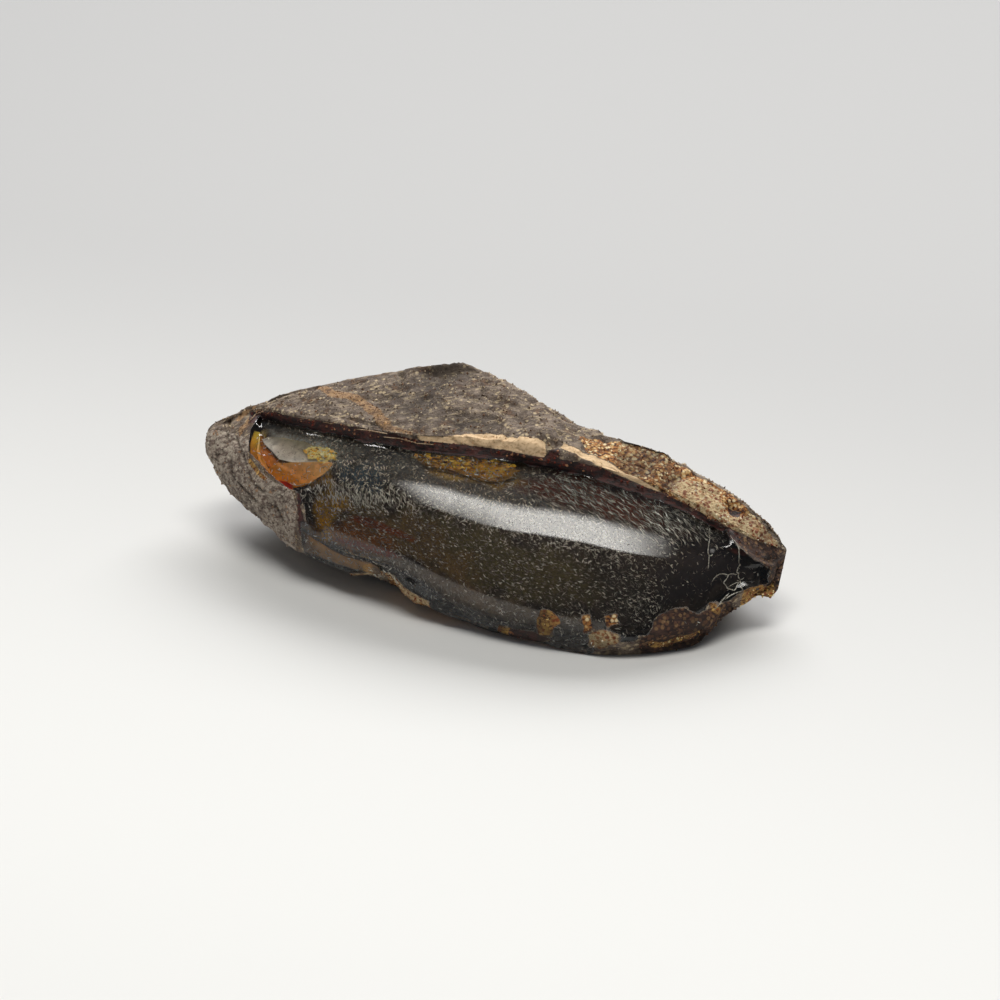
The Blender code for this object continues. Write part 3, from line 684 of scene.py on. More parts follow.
amberLook = dict(
    clear="#ffffff", ior=1.54, polish=0.035,  # amber's refraction, and the fine haze of a hand polish
    absorbed="#dca45c", absorption=160.0,  # warm brown that deepens with thickness
)
rindLook = dict(
    # name: turn in degrees, drawing out, size in millimetres, detail, how much the detail counts
    noises=dict(
        blotch=(0.0, 1.0, 3.2, 4.0, 0.70), coarse=(0.0, 0.55, 1.6, 3.0, 0.55),
        grain=(-20.0, 0.6, 0.45, 3.0, 0.70), streak=(-32.0, 0.28, 0.85, 4.0, 0.75),
        fine=(0.0, 1.0, 0.22, 2.0, 0.55)),
    cell=0.72,  # size of the single grains, which are really 0.3 to 1 mm
    # the pit colour darkens the real pits and, as painted shade, the creases
    grey="#8c7c6d", greyDark="#504238", pale="#cab592", pitAndCreaseShadeColour="#201710", brown="#85603f",
    layers=dict(  # zone: its colour, its second colour, the noise that mixes them and between which values
        # the left end's crust colours are painted paler to stand in for light that side lacks
        leftCrustPaintedLight=("#bcae9d", "#6b5a50", "streak", 0.40, 0.62),
        swath=("#a5845f", "#6e503a", "grain", 0.45, 0.62),
        umber=("#4a3228", "#221512", "streak", 0.40, 0.62),
        rust=("#ac7238", "#452114", "grain", 0.44, 0.58),
        tan=("#e8c9a0", "#c4a077", "grain", 0.42, 0.72),
        ochre=("#b88a4c", "#5c3a1e", "grain", 0.44, 0.60),
        cream=("#c6b188", "#9a764e", "grain", 0.44, 0.62),
        # the red zone's colours: the rind's own dark red, made near black by painted shade of the undercut
        red=("#4c190c", "#1e0906", "streak", 0.42, 0.56)),
    flakes=dict(  # zone: the colours of its first and second kind of single flakes
        rust=("#dcb478", "#f0dcae"), ochre=("#d9ac5c", "#8a3c1c"), cream=("#96603a", "#6e3218"),
        umber=("#6e4a34", "#8a6a48")),
    roughness=0.85, polished=0.6, bumpDepth=0.26,  # dull rind, and the denser red line, which is smoother
    # name: the noise or the random channel of the grains that is stepped, between which values, its strength
    masks=dict(
        dark=("blotch", 0.36, 0.62, 1.0), shade=("streak", 0.50, 0.32, 0.9),
        light=("streak", 0.54, 0.66, 0.75), stain=("blotch", 0.55, 0.72, 0.55),
        pits=("grain", 0.57, 0.69, 0.75), paleGrain=("Red", 0.84, 0.90, 0.8),
        firstFlake=("Green", 0.50, 0.56, 0.9), secondFlake=("Blue", 0.66, 0.72, 0.9)),
    tones=(("dark", "greyDark"), ("shade", "greyDark"), ("light", "pale"), ("stain", "brown"),
           ("paleGrain", "pale")),  # mask and colour, from the lowest up
    wander=(("coarse", 1.1), ("grain", 0.8), ("fine", 0.4)),  # how far each noise moves the zones' edges
    lumps=(("coarse", 1.0), ("grain", 0.6), ("fine", 0.35), ("streak", 0.7)),  # what each adds to the bump
    heart=(0.62, 0.36),  # distances from a grain's middle between which it comes to show
    crease=(0.2, 0.9, 0.6),  # hollows from and to which creases get painted shade, and how much
    calm=0.75,  # how much less the smooth tan crust is pitted and bumped
    zoneEdge=(-0.05, 0.12),  # millimetres inside a zone's outline between which it comes to cover
    edge=0.15, edgeSoft=0.06,  # millimetres inside the windows' outlines where the amber begins
    edgeWander=0.7,  # how far the fine noise moves that
)


def bodyMaterial():
    # Weathered rind on polished fossil resin. The rind is dull, gritty and mottled; the windows are clear,
    # glossy and brown by depth.
    look = rindLook
    material, tree, output = newMaterial("polishedAmberInRind")
    coordinates = addNode(tree, "ShaderNodeTexCoord").outputs["Object"]
    noises = {}
    for name, (turn, drawn, size, detail, rough) in look["noises"].items():
        turned = addNode(tree, "ShaderNodeMapping", {"Vector": coordinates,
                                                     "Rotation": (0, 0, np.radians(turn))})
        drawnOut = addNode(tree, "ShaderNodeMapping", {"Vector": turned.outputs[0],
                                                       "Scale": (drawn, 1.0, 1.0)})
        noises[name] = addNode(tree, "ShaderNodeTexNoise", {
            "Vector": drawnOut.outputs[0], "Scale": perMetre(size), "Detail": detail,
            "Roughness": rough}).outputs["Fac"]
    # single grains, neither turned nor drawn out
    cells = addNode(tree, "ShaderNodeTexVoronoi", {"Vector": coordinates,
                                                   "Scale": perMetre(look["cell"])})
    pick = addNode(tree, "ShaderNodeSeparateColor", {0: cells.outputs["Color"]}).outputs
    heart = addNode(tree, "ShaderNodeMapRange", {
        "Value": cells.outputs["Distance"], "From Min": look["heart"][0],
        "From Max": look["heart"][1]}).outputs[0]

    # each mask is a smooth step of a noise or of a grain's random number, times a strength
    masks = {}
    for name, (source, low, high, strength) in look["masks"].items():
        ofGrains = source not in noises
        stepped = pick[source] if ofGrains else noises[source]
        masks[name] = addNode(tree, "ShaderNodeMapRange", {
            "Value": stepped, "From Min": low, "From Max": high, "To Max": strength},
            interpolation_type="SMOOTHSTEP").outputs[0]
        if ofGrains:
            masks[name] = addNode(tree, "ShaderNodeMath", {0: masks[name], 1: heart},
                                  operation="MULTIPLY").outputs[0]

    # how far a zone's edge wanders: the sum of noises about their middle, each times its width
    wander = 0.0
    for name, width in look["wander"]:
        about = addNode(tree, "ShaderNodeMath", {0: noises[name], 1: 0.5}, operation="SUBTRACT").outputs[0]
        wander = addNode(tree, "ShaderNodeMath", {0: about, 1: width, 2: wander},
                         operation="MULTIPLY_ADD").outputs[0]

    colour = srgb(look["grey"])
    for mask, top in look["tones"]:
        colour = addNode(tree, "ShaderNodeMix", {0: masks[mask], 6: colour, 7: srgb(look[top])},
                         data_type="RGBA").outputs[2]
    covered = {}
    for zone, (first, second, noise, low, high) in look["layers"].items():
        inside = addNode(tree, "ShaderNodeAttribute", attribute_name=zone).outputs["Fac"]
        ragged = addNode(tree, "ShaderNodeMath", {0: inside, 1: wander}, operation="ADD").outputs[0]
        covered[zone] = addNode(tree, "ShaderNodeMapRange", {
            "Value": ragged, "From Min": look["zoneEdge"][0], "From Max": look["zoneEdge"][1]},
            interpolation_type="SMOOTHSTEP").outputs[0]
        mottle = addNode(tree, "ShaderNodeMapRange", {
            "Value": noises[noise], "From Min": low, "From Max": high},
            interpolation_type="SMOOTHSTEP").outputs[0]
        own = addNode(tree, "ShaderNodeMix", {0: mottle, 6: srgb(first), 7: srgb(second)},
                      data_type="RGBA").outputs[2]
        for mask, flake in zip(("firstFlake", "secondFlake"), look["flakes"].get(zone, ())):
            own = addNode(tree, "ShaderNodeMix", {0: masks[mask], 6: own, 7: srgb(flake)},
                          data_type="RGBA").outputs[2]
        colour = addNode(tree, "ShaderNodeMix", {0: covered[zone], 6: colour, 7: own},
                         data_type="RGBA").outputs[2]

    # dark pits, and painted shade in the creases, both of which the smooth tan crust has few of
    hollows = addNode(tree, "ShaderNodeAttribute", attribute_name="hollow").outputs["Fac"]
    start, end, darker = look["crease"]
    crease = addNode(tree, "ShaderNodeMapRange", {
        "Value": hollows, "From Min": start, "From Max": end, "To Max": darker},
        interpolation_type="SMOOTHSTEP").outputs[0]
    pitsAndPaintedCreaseShade = addNode(tree, "ShaderNodeMath", {0: masks["pits"], 1: crease}, operation="MAXIMUM").outputs[0]
    smooth = addNode(tree, "ShaderNodeMath", {0: covered["tan"], 1: -look["calm"], 2: 1.0},
                     operation="MULTIPLY_ADD").outputs[0]
    pitsAndPaintedCreaseShade = addNode(tree, "ShaderNodeMath", {0: pitsAndPaintedCreaseShade, 1: smooth}, operation="MULTIPLY").outputs[0]
    colour = addNode(tree, "ShaderNodeMix", {0: pitsAndPaintedCreaseShade, 6: colour, 7: srgb(look["pitAndCreaseShadeColour"])},
                     data_type="RGBA").outputs[2]

    # clear amber begins where the windowDepth attribute, roughened by the fine noise, passes the edge
    inside = addNode(tree, "ShaderNodeAttribute", attribute_name="windowDepth").outputs["Fac"]
    about = addNode(tree, "ShaderNodeMath", {0: noises["fine"], 1: 0.5}, operation="SUBTRACT").outputs[0]
    ragged = addNode(tree, "ShaderNodeMath", {0: about, 1: look["edgeWander"], 2: inside},
                     operation="MULTIPLY_ADD").outputs[0]
    clear = addNode(tree, "ShaderNodeMapRange", {
        "Value": ragged, "From Min": look["edge"] - look["edgeSoft"],
        "From Max": look["edge"] + look["edgeSoft"]}, interpolation_type="SMOOTHSTEP").outputs[0]
    colour = addNode(tree, "ShaderNodeMix", {0: clear, 6: colour, 7: srgb(amberLook["clear"])},
                     data_type="RGBA").outputs[2]
    dull = addNode(tree, "ShaderNodeMapRange", {"Value": covered["red"], "To Min": look["roughness"],
                                                "To Max": look["polished"]}).outputs[0]
    roughness = addNode(tree, "ShaderNodeMix", {0: clear, 2: dull, 3: amberLook["polish"]}).outputs[0]
    lumps = 0.0
    for name, share in look["lumps"]:
        lumps = addNode(tree, "ShaderNodeMath", {0: noises[name], 1: share, 2: lumps},
                        operation="MULTIPLY_ADD").outputs[0]
    lumps = addNode(tree, "ShaderNodeMath", {0: lumps, 1: smooth}, operation="MULTIPLY").outputs[0]
    rind = addNode(tree, "ShaderNodeMath", {0: 1.0, 1: clear}, operation="SUBTRACT").outputs[0]
    lumps = addNode(tree, "ShaderNodeMath", {0: lumps, 1: rind}, operation="MULTIPLY").outputs[0]
    bump = addNode(tree, "ShaderNodeBump", {"Height": lumps, "Distance": look["bumpDepth"] * mm,
                                            "Strength": 1.0})
    shader = addNode(tree, "ShaderNodeBsdfPrincipled", {
        "Base Color": colour, "Roughness": roughness, "IOR": amberLook["ior"], "Transmission Weight": clear,
        "Normal": bump.outputs[0]})
    within = addNode(tree, "ShaderNodeVolumeAbsorption", {"Color": srgb(amberLook["absorbed"]),
                                                          "Density": amberLook["absorption"]})
    tree.links.new(shader.outputs[0], output.inputs["Surface"])
    tree.links.new(within.outputs[0], output.inputs["Volume"])
    return material


bodyPiece.data.materials.append(bodyMaterial())
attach(bodyPiece, "root")
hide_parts("amber_piece")


def addPiece(name, points, faces, material, smooth=True):
    # a piece of the lump that fills the record's one slot
    piece = newMesh(name, settle(points), faces, smooth)
    piece.data.materials.append(material)
    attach(piece, "root")
    return piece


def doublePyramid(sides):
    # the faces of a ring of corners 1 to sides between the point 0 above it and the last one below it
    upper = [(0, 1 + a, 1 + (a + 1) % sides) for a in range(sides)]
    return upper + [(sides + 1, 1 + (a + 1) % sides, 1 + a) for a in range(sides)]


def copies(count, corners, template):
    # the faces of count copies of one small shape, whose corners follow each other
    return (np.array(template)[None] + corners * np.arange(count)[:, None, None]).reshape(-1, 3).tolist()


def stainedMaterial(name, roughness, size, contrast):
    # a dull grainy solid: the tone attribute, made darker and lighter by a fine noise
    material, tree, output = newMaterial(name)
    tone = addNode(tree, "ShaderNodeAttribute", attribute_name="tone").outputs["Color"]
    coordinates = addNode(tree, "ShaderNodeTexCoord").outputs["Object"]
    noise = addNode(tree, "ShaderNodeTexNoise", {"Vector": coordinates, "Scale": perMetre(size),
                                                 "Detail": 3.0})
    value = addNode(tree, "ShaderNodeMapRange", {
        "Value": noise.outputs["Fac"], "From Min": 0.3, "From Max": 0.7, "To Min": 1.0 - contrast,
        "To Max": 1.0 + contrast})
    mixed = addNode(tree, "ShaderNodeMix", {0: 1.0, 6: tone, 7: value.outputs[0]}, data_type="RGBA",
                    blend_type="MULTIPLY")
    shader = addNode(tree, "ShaderNodeBsdfPrincipled", {"Base Color": mixed.outputs[2],
                                                        "Roughness": roughness})
    tree.links.new(shader.outputs[0], output.inputs["Surface"])
    return material


core = dict(
    rows=260, points=(20, 6, 90, 14, 20), stationRange=(0.05, 0.90),
    depth=3.0, windowStep=1.0,  # below the skin, and that much more because the windows are polished down
    slim=26.0, slimSag=10.0,  # girths below which the core comes nearer to the skin, and stops sagging
    sag=(9.0, 0.5, 23.0), wander=((4.5, 0.30, 21.0), (1.7, 0.20, 22.0)),  # noises: size, width and seed
    path=2.3,  # how far light goes through the resin for each unit of depth
    gain=2.5,  # how much paler a thing is made because it gets less light than the floor
    plain="#26201a",
    # as seen from outside: colour, strength, then x, place, half-widths along and round, turn in degrees
    patches=(
        ("#4a4640", 0.8, -2.0, 2.12, 44.0, 6.5, 0), ("#3f3620", 1.0, 4.0, 2.58, 40.0, 7.0, 0),
        ("#4c3d2c", 1.0, 6.0, 2.88, 36.0, 4.0, 0),
        ("#4c3a20", 1.0, -12.0, 2.62, 19.0, 6.5, 0), ("#5e3614", 1.0, -22.0, 2.75, 11.0, 5.5, 0),
        ("#4c2418", 1.0, 24.0, 2.08, 22.0, 3.8, 0), ("#12110e", 0.9, 38.0, 2.50, 16.0, 9.0, 0),
        ("#0c0d10", 1.0, 47.0, 2.35, 11.0, 12.0, 0), ("#1a120c", 0.9, -9.5, 2.78, 5.5, 1.0, 0),
        ("#86601a", 1.0, -28.2, 2.62, 4.2, 7.5, 0), ("#8a6426", 0.9, -25.4, 2.50, 4.0, 3.0, 0),
        ("#5a2a12", 1.0, -16.0, 2.59, 9.0, 1.3, 4), ("#521c08", 1.0, -18.0, 2.80, 8.5, 1.5, 0),
        ("#8a6a44", 1.0, -21.0, 2.94, 9.0, 1.8, 0), ("#5b564c", 0.8, -33.0, 2.06, 13.0, 4.0, 0),
        ("#74572c", 1.0, -1.0, 2.06, 13.5, 3.4, 0), ("#8e6f38", 0.8, -2.0, 2.10, 9.0, 2.0, 0),
        ("#a87a34", 1.0, -34.0, 2.36, 6.5, 4.6, 0), ("#8a5c22", 1.0, -41.5, 2.40, 6.5, 3.6, 0),
        ("#d0a030", 1.0, -46.2, 2.32, 2.2, 7.0, 0), ("#7d766a", 0.9, -35.0, 2.14, 12.0, 3.4, 0),
        # the two pale spots at x -40.5 and -43.2 are painted reflection of the lamp's glare on the left
        # window
        ("#cfc8ba", 1.0, -40.5, 2.27, 5.4, 1.7, 6), ("#e0dace", 1.0, -43.2, 2.255, 2.4, 1.0, 4),
        ("#2f383c", 1.0, -21.0, 2.25, 6.5, 4.4, 0), ("#5a3024", 1.0, 52.5, 2.08, 4.5, 2.2, 0),
    ),
)


def mixColours(base, colour, share):
    # base (1 - share) + colour share, for arrays of linear colours
    share = np.clip(share, 0.0, 1.0)[..., None]
    return base * (1.0 - share) + colour * share


def underResin(hexText, depth):
    # the colour a thing at depth needs to look like hexText from outside: over e^(-density (1 - c) path)
    through = np.exp(-amberLook["absorption"] * (1.0 - np.array(srgb(amberLook["absorbed"])[:3]))
                     * depth * core["path"] * mm)
    needed = np.array(srgb(hexText)[:3]) / through * core["gain"]
    return needed / max(needed.max() / 0.9, 1.0)


def makeCore():
    # the skin moved in by depth along its normal, less where a section is slim; soft patches of stain on it,
    # two of which are painted reflection
    low, high = core["stationRange"]
    stations = np.linspace(low, high, core["rows"] + 1)[:, None]
    places = np.concatenate([n + np.arange(count) / count for n, count in enumerate(core["points"])])
    stations, places = np.broadcast_arrays(stations, places[None, :])
    bare = skinAt(stations, places)
    girth = girthOf(bare)
    inset = (core["depth"] + core["windowStep"]) * smoothstep(0.0, core["slim"], girth)
    size, width, seed = core["sag"]
    sag = valueNoise(bare, size, seed) * width
    inset = inset + sag * smoothstep(core["slimSag"], core["slim"], girth)
    points = bare - gridOutward(bare) * inset[..., None]
    points[..., 0] = np.clip(points[..., 0], bare[0, 0, 0], bare[-1, 0, 0])
    wander = sum(valueNoise(bare, size, seed) * width for size, width, seed in core["wander"])
    x = bare[..., 0]
    tone = np.broadcast_to(underResin(core["plain"], core["depth"]), (*x.shape, 3))
    for colour, strength, *where in core["patches"]:
        share = smoothstep(0.0, 0.5, spot(x, places, *where) + wander) * strength
        tone = mixColours(tone, underResin(colour, core["depth"]), share)
    piece = closedLoft("cloudyCore", settle(points))
    giveValues(piece, "tone", loftValues(tone))
    # resin clouded by bubbles and stains, which looks dull and mottled in the depth
    piece.data.materials.append(stainedMaterial("cloudyResin", 0.6, 0.5, 0.35))
    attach(piece, "root")


makeCore()
print("cloudy core is made")

flecks = dict(
    count=10800, seed=7, length=(0.45, 1.2), width=(0.06, 0.17), thickness=0.03, depth=(0.04, 1.1),
    fineLength=(0.25, 0.8), fineWidth=(0.05, 0.10),
    # pieces of smaller flecks: name, seed, count, their window and the places that it spans
    fine=(("fineFlecks", 8, 17000, frontWindow, (2.0, 3.0)),
          ("fineFlecksBehind", 9, 3600, backWindow, (4.0, 5.0))),
    fineDeeper=0.3, fineHalf=0.02, fineDimmer=0.8,  # deeper by, half thickness, and brightness times
    bend=0.13, tilt=0.35, pale="#fffff2", dim="#2c2a20",
    span=(-46.0, 55.0), tries=5, margin=0.35,  # x of the random spots, spots to a fleck, gap to the outline
    clouds=(0.75, 0.5, 6.0, 0.15),  # share of spots that is kept, its swing, the swing's size, least share
    # where the dome is plain: how many fewer, then x, place and half-widths
    plainSpots=((0.85, -40.0, 2.30, 14.0, 9.0), (0.9, 50.0, 2.45, 14.0, 14.0)),
    belly=(2.66, 2.76, 0.5),  # places between which they thin out downwards, and how many fewer
    usual=(25.0, 50.0, 0.9, 0.8),  # slant, its spread, length and brightness times, away from the swarms
    gamma=(0.8, 0.62), brightness=(0.02, 1.2),  # shape and scale of the random brightness, and its ends
    # x, place, half-widths, then slant in degrees down from +x, its spread, length and brightness times
    swarms=((-20.0, 2.42, 14.0, 5.0, 62.0, 16.0, 1.5, 1.9), (28.0, 2.15, 22.0, 5.0, 28.0, 10.0, 1.9, 0.9),
            # the swarm at x 12, first on the line below, lies along the lamp's streak: its brighter flecks
            # are painted highlight
            (12.0, 2.32, 26.0, 3.4, 20.0, 70.0, 0.8, 2.2), (-22.0, 2.28, 9.0, 4.0, 55.0, 40.0, 1.0, 1.2),
            (2.0, 2.60, 40.0, 6.0, 8.0, 22.0, 0.8, 0.6)),
)


def scatterOnWindow(random, count, margin, window, reach):
    # random spots of a window that lie margin inside its outline, thinned where the front dome is plain
    x = random.uniform(*flecks["span"], count * flecks["tries"])
    place = random.uniform(*reach, count * flecks["tries"])
    bare = skinAt(stationOf(x), place)
    inside = insideOutline(x, place, window)
    share, swing, size, least = flecks["clouds"]
    wanted = np.clip(share + swing * valueNoise(bare, size, 31.0), least, 1.0)
    for fewer, *where in flecks["plainSpots"]:
        wanted = wanted * (1.0 - fewer * np.clip(spot(x, place, *where) * 3.0, 0.0, 1.0))
    start, end, fewer = flecks["belly"]
    wanted = wanted * (1.0 - fewer * smoothstep(start, end, place) * (place < 3.0))
    keep = np.flatnonzero((inside > margin) & (random.uniform(0.0, 1.0, len(x)) < wanted))[:count]
    return x[keep], place[keep]


def polishedBy(x, place):
    # how far the polish lies below the smooth skin: the step at the depth inside the windows' plain outlines
    inside = np.maximum(insideOutline(x, place, frontWindow), insideOutline(x, place, backWindow))
    return polishStep(inside, place)


def under(x, place, outward, depth):
    # points of the smooth skin moved in along its normal by depth
    return skinAt(stationOf(x), place) - outward * depth[:, None]


def tilted(random, along, around, outward, spread):
    # the normal turned by a random slope of that spread each way
    count = len(outward)
    return unit(outward + along * random.normal(0, spread, (count, 1))
                + around * random.normal(0, spread, (count, 1)))


def fleckFrames(seed, count, window, reach):
    # where flecks lie, which way they and their sides point, and how long and bright they are, by swarm
    random = np.random.default_rng(seed)
    x, place = scatterOnWindow(random, count, flecks["margin"], window, reach)
    count = len(x)
    along, around, outward = skinFrame(stationOf(x), place)
    slant, spread, longer, bright = (np.full(count, value) for value in flecks["usual"])
    for centreX, centrePlace, wide, high, *values in flecks["swarms"]:
        share = np.clip(spot(x, place, centreX, centrePlace, wide, high) * 2.5, 0.0, 1.0)
        slant, spread, longer, bright = (old * (1.0 - share) + new * share
                                         for old, new in zip((slant, spread, longer, bright), values))
    turn = np.radians(-slant + random.normal(0.0, 1.0, count) * spread)[:, None]
    bright = np.clip(random.gamma(*flecks["gamma"], count) * bright, *flecks["brightness"])
    normal = tilted(random, along, around, outward, flecks["tilt"])
    forward = unit(along * np.cos(turn) - around * np.sin(turn))
    side = unit(np.cross(normal, forward))
    forward = np.cross(side, normal)
    centre = under(x, place, outward, polishedBy(x, place) + random.uniform(*flecks["depth"], count))
    return random, centre, forward, side, normal, longer, bright


def makeFineFlecks(material):
    # many small dim flecks behind the large ones: drawn-out octahedra
    for name, *where in flecks["fine"]:
        random, centre, forward, side, normal, longer, bright = fleckFrames(*where)
        count = len(centre)
        centre = centre - normal * flecks["fineDeeper"]
        length = (random.uniform(*flecks["fineLength"], count) * longer * 0.5)[:, None]
        width = random.uniform(*flecks["fineWidth"], count)[:, None] * 0.5
        half = flecks["fineHalf"]
        ends = np.stack((centre + forward * length, centre + side * width, centre + normal * half,
                         centre - side * width, centre - normal * half, centre - forward * length), axis=1)
        piece = addPiece(name, ends.reshape(-1, 3), copies(count, 6, doublePyramid(4)), material, False)
        giveValues(piece, "bright", np.repeat(bright * flecks["fineDimmer"], 6))
        print(name, count)


def makeFlecks():
    # each fleck is a thin bent sliver: three three-sided rings between two points, under the polish
    random, centre, forward, side, normal, longer, bright = fleckFrames(
        flecks["seed"], flecks["count"], frontWindow, (2.0, 3.0))
    count = len(centre)
    length = (random.uniform(*flecks["length"], count) * longer)[:, None, None]
    width = (flecks["width"][0] + flecks["width"][1] * bright)[:, None, None]
    bend = random.normal(0.0, flecks["bend"], count)[:, None, None]
    way = np.array([-0.5, -0.25, 0.0, 0.25, 0.5])[None, :, None]
    spine = (centre[:, None] + forward[:, None] * way * length
             + side[:, None] * bend * length * (4.0 * way**2 - 0.5))
    wide = np.array([0.8, 1.0, 0.8])[None, :, None] * width * 0.5
    middle = spine[:, 1:4]
    rings = np.stack([middle + side[:, None] * wide, middle + normal[:, None] * flecks["thickness"],
                      middle - side[:, None] * wide], axis=2).reshape(count, 9, 3)
    points = np.concatenate([spine[:, :1], rings, spine[:, 4:]], axis=1)
    template = [(0, 1 + a, 1 + (a + 1) % 3) for a in range(3)]
    for ring in (1, 4):
        template += [(ring + a, ring + 3 + a, ring + (a + 1) % 3) for a in range(3)]
        template += [(ring + (a + 1) % 3, ring + 3 + a, ring + 3 + (a + 1) % 3) for a in range(3)]
    template += [(7 + a, 10, 7 + (a + 1) % 3) for a in range(3)]
    # gas bubbles drawn out in the flowing resin, thin films whose glint is painted into their colour: the
    # bright value makes them pale, or dim as if they face away
    material, tree, output = newMaterial("drawnOutBubbles")
    tone = addNode(tree, "ShaderNodeAttribute", attribute_name="bright").outputs["Fac"]
    colour = addNode(tree, "ShaderNodeMix", {0: tone, 6: srgb(flecks["dim"]), 7: srgb(flecks["pale"])},
                     data_type="RGBA").outputs[2]
    shader = addNode(tree, "ShaderNodeBsdfPrincipled", {"Base Color": colour, "Roughness": 0.35})
    tree.links.new(shader.outputs[0], output.inputs["Surface"])
    piece = addPiece("flowFlecks", points, copies(count, 11, template), material)
    giveValues(piece, "bright", np.repeat(bright, 11))
    makeFineFlecks(material)
    print("flecks:", count)


makeFlecks()

threadLook = dict(
    thick=0.17, thin=0.12,  # radius of the cracks and fibres, and of the cleft's rim
    # share of the polish's step plus millimetres that each kind lies below the skin
    whiteDepth=(1.0, 0.03), rimDepth=(1.0, 0.42), fibreDepth=(0.0, -0.05),
    wander=0.45, spacing=0.35,
    white=(  # open cracks near the right tip, filled with white powder, as (x, place)
        ((47.4, 2.03), (48.7, 2.09), (49.7, 2.15), (50.5, 2.23), (50.9, 2.31), (51.0, 2.40), (51.2, 2.50),
         (51.8, 2.62), (52.4, 2.70)),
        ((51.2, 2.48), (49.9, 2.46), (49.3, 2.53), (50.2, 2.62), (50.9, 2.67), (51.6, 2.60)),
        ((50.2, 2.62), (51.0, 2.60), (52.0, 2.58)), ((52.3, 2.70), (51.6, 2.72), (50.5, 2.71), (49.6, 2.72)),
        ((50.3, 2.69), (48.8, 2.74), (47.8, 2.78)), ((49.8, 2.46), (48.3, 2.42), (47.2, 2.46)),
        ((44.4, 2.05), (45.0, 2.16), (45.8, 2.26), (46.1, 2.36)),
    ),
    rim=(  # the pale far edge of the orange cleft, and the bright nick at its top
        ((-35.0, 2.495), (-33.4, 2.485), (-32.0, 2.46), (-30.5, 2.402), (-28.5, 2.325), (-27.3, 2.235)),
        ((-27.9, 2.225), (-27.0, 2.24), (-26.3, 2.27), (-25.8, 2.30)),
    ),
    fibre=(  # pale fibres in the dark crevice under the lip
        ((-37.4, 1.5), (-34.0, 1.25), (-30.8, 1.3), (-28.0, 1.16)),
        ((-26.0, 1.4), (-22.0, 1.25), (-18.3, 1.3)), ((-30.0, 1.8), (-27.5, 1.55), (-25.5, 1.7)),
        ((-19.0, 1.7), (-15.8, 1.6), (-12.4, 1.86), (-9.0, 1.84)),
        ((-48.8, 2.12), (-47.2, 1.7), (-44.5, 1.6), (-41.5, 1.62)),
    ),
)


def makeThreads(name, lines, radius, lift, material):
    # a three-sided tube along each line, whose points are spaced evenly and wander by smooth noise; it lies
    # lift[0] times the polish's step plus lift[1] below the skin
    points, faces, start = [], [], 0
    for number, line in enumerate(lines):
        xs, places = np.array(line, float).T
        run = np.concatenate([[0.0], np.cumsum(np.hypot(np.diff(xs), np.diff(places) * stretchLength))])
        count = max(int(run[-1] / threadLook["spacing"]), 4)
        at = np.linspace(0.0, run[-1], count)
        x, place = np.interp(at, run, xs), np.interp(at, run, places)
        seeds = np.column_stack([at, np.full(count, number * 7.3), np.zeros(count)])
        place = place + valueNoise(seeds, 1.1, 61.0) * threadLook["wander"] / stretchLength
        x = x + valueNoise(seeds, 1.3, 62.0) * threadLook["wander"] * 0.6
        _, _, outward = skinFrame(stationOf(x), place)
        spine = under(x, place, outward, polishedBy(x, place) * lift[0] + lift[1])
        forward = unit(np.gradient(spine, axis=0))
        side = unit(np.cross(outward, forward))
        thick = radius * (0.55 + 0.45 * np.abs(valueNoise(seeds, 0.9, 63.0)))[:, None]
        thick[0] = thick[-1] = radius * 0.1
        around = ((-0.87, -0.5), (0.87, -0.5), (0.0, 1.0))  # cosine and sine of the ring's three corners
        ring = [spine + (side * c + outward * s) * thick for c, s in around]
        points.append(np.stack(ring, axis=1).reshape(-1, 3))
        corner = start + 3 * np.arange(count - 1)[:, None]
        for a, b in ((0, 1), (1, 2), (2, 0)):
            faces += np.hstack([corner + a, corner + b, corner + 3 + b, corner + 3 + a]).tolist()
        after = start + 3 * count
        faces += [[start + 2, start + 1, start], [after - 3, after - 2, after - 1]]
        start = after
    addPiece(name, np.vstack(points), faces, material)


def dryMaterial(name, colour, second, size, roughness):
    # a dull solid whose two colours are mixed by a fine noise
    material, tree, output = newMaterial(name)
    coordinates = addNode(tree, "ShaderNodeTexCoord").outputs["Object"]
    noise = addNode(tree, "ShaderNodeTexNoise", {"Vector": coordinates, "Scale": perMetre(size),
                                                 "Detail": 3.0})
    share = addNode(tree, "ShaderNodeMapRange", {
        "Value": noise.outputs["Fac"], "From Min": 0.38, "From Max": 0.62}, interpolation_type="SMOOTHSTEP")
    mixed = addNode(tree, "ShaderNodeMix", {0: share.outputs[0], 6: srgb(colour), 7: srgb(second)},
                    data_type="RGBA")
    bump = addNode(tree, "ShaderNodeBump", {"Height": noise.outputs["Fac"], "Distance": size * 0.3 * mm})
    shader = addNode(tree, "ShaderNodeBsdfPrincipled", {
        "Base Color": mixed.outputs[2], "Roughness": roughness, "Normal": bump.outputs[0]})
    tree.links.new(shader.outputs[0], output.inputs["Surface"])
    return material


# resin dust packed in open cracks, which looks white and dull, and dry splinters of weathered resin
crackFilling = dryMaterial("packedResinDust", "#d6d2c6", "#8d8674", 0.3, 0.8)
paleFibre = dryMaterial("weatheredSplinters", "#b9a284", "#7a5a3e", 0.3, 0.8)
makeThreads("whiteCracks", threadLook["white"], threadLook["thick"], threadLook["whiteDepth"],
            crackFilling)
makeThreads("cleftRim", threadLook["rim"], threadLook["thin"], threadLook["rimDepth"], crackFilling)
makeThreads("crevicePaleFibres", threadLook["fibre"], threadLook["thick"], threadLook["fibreDepth"],
            paleFibre)
print("cracks and fibres are made")

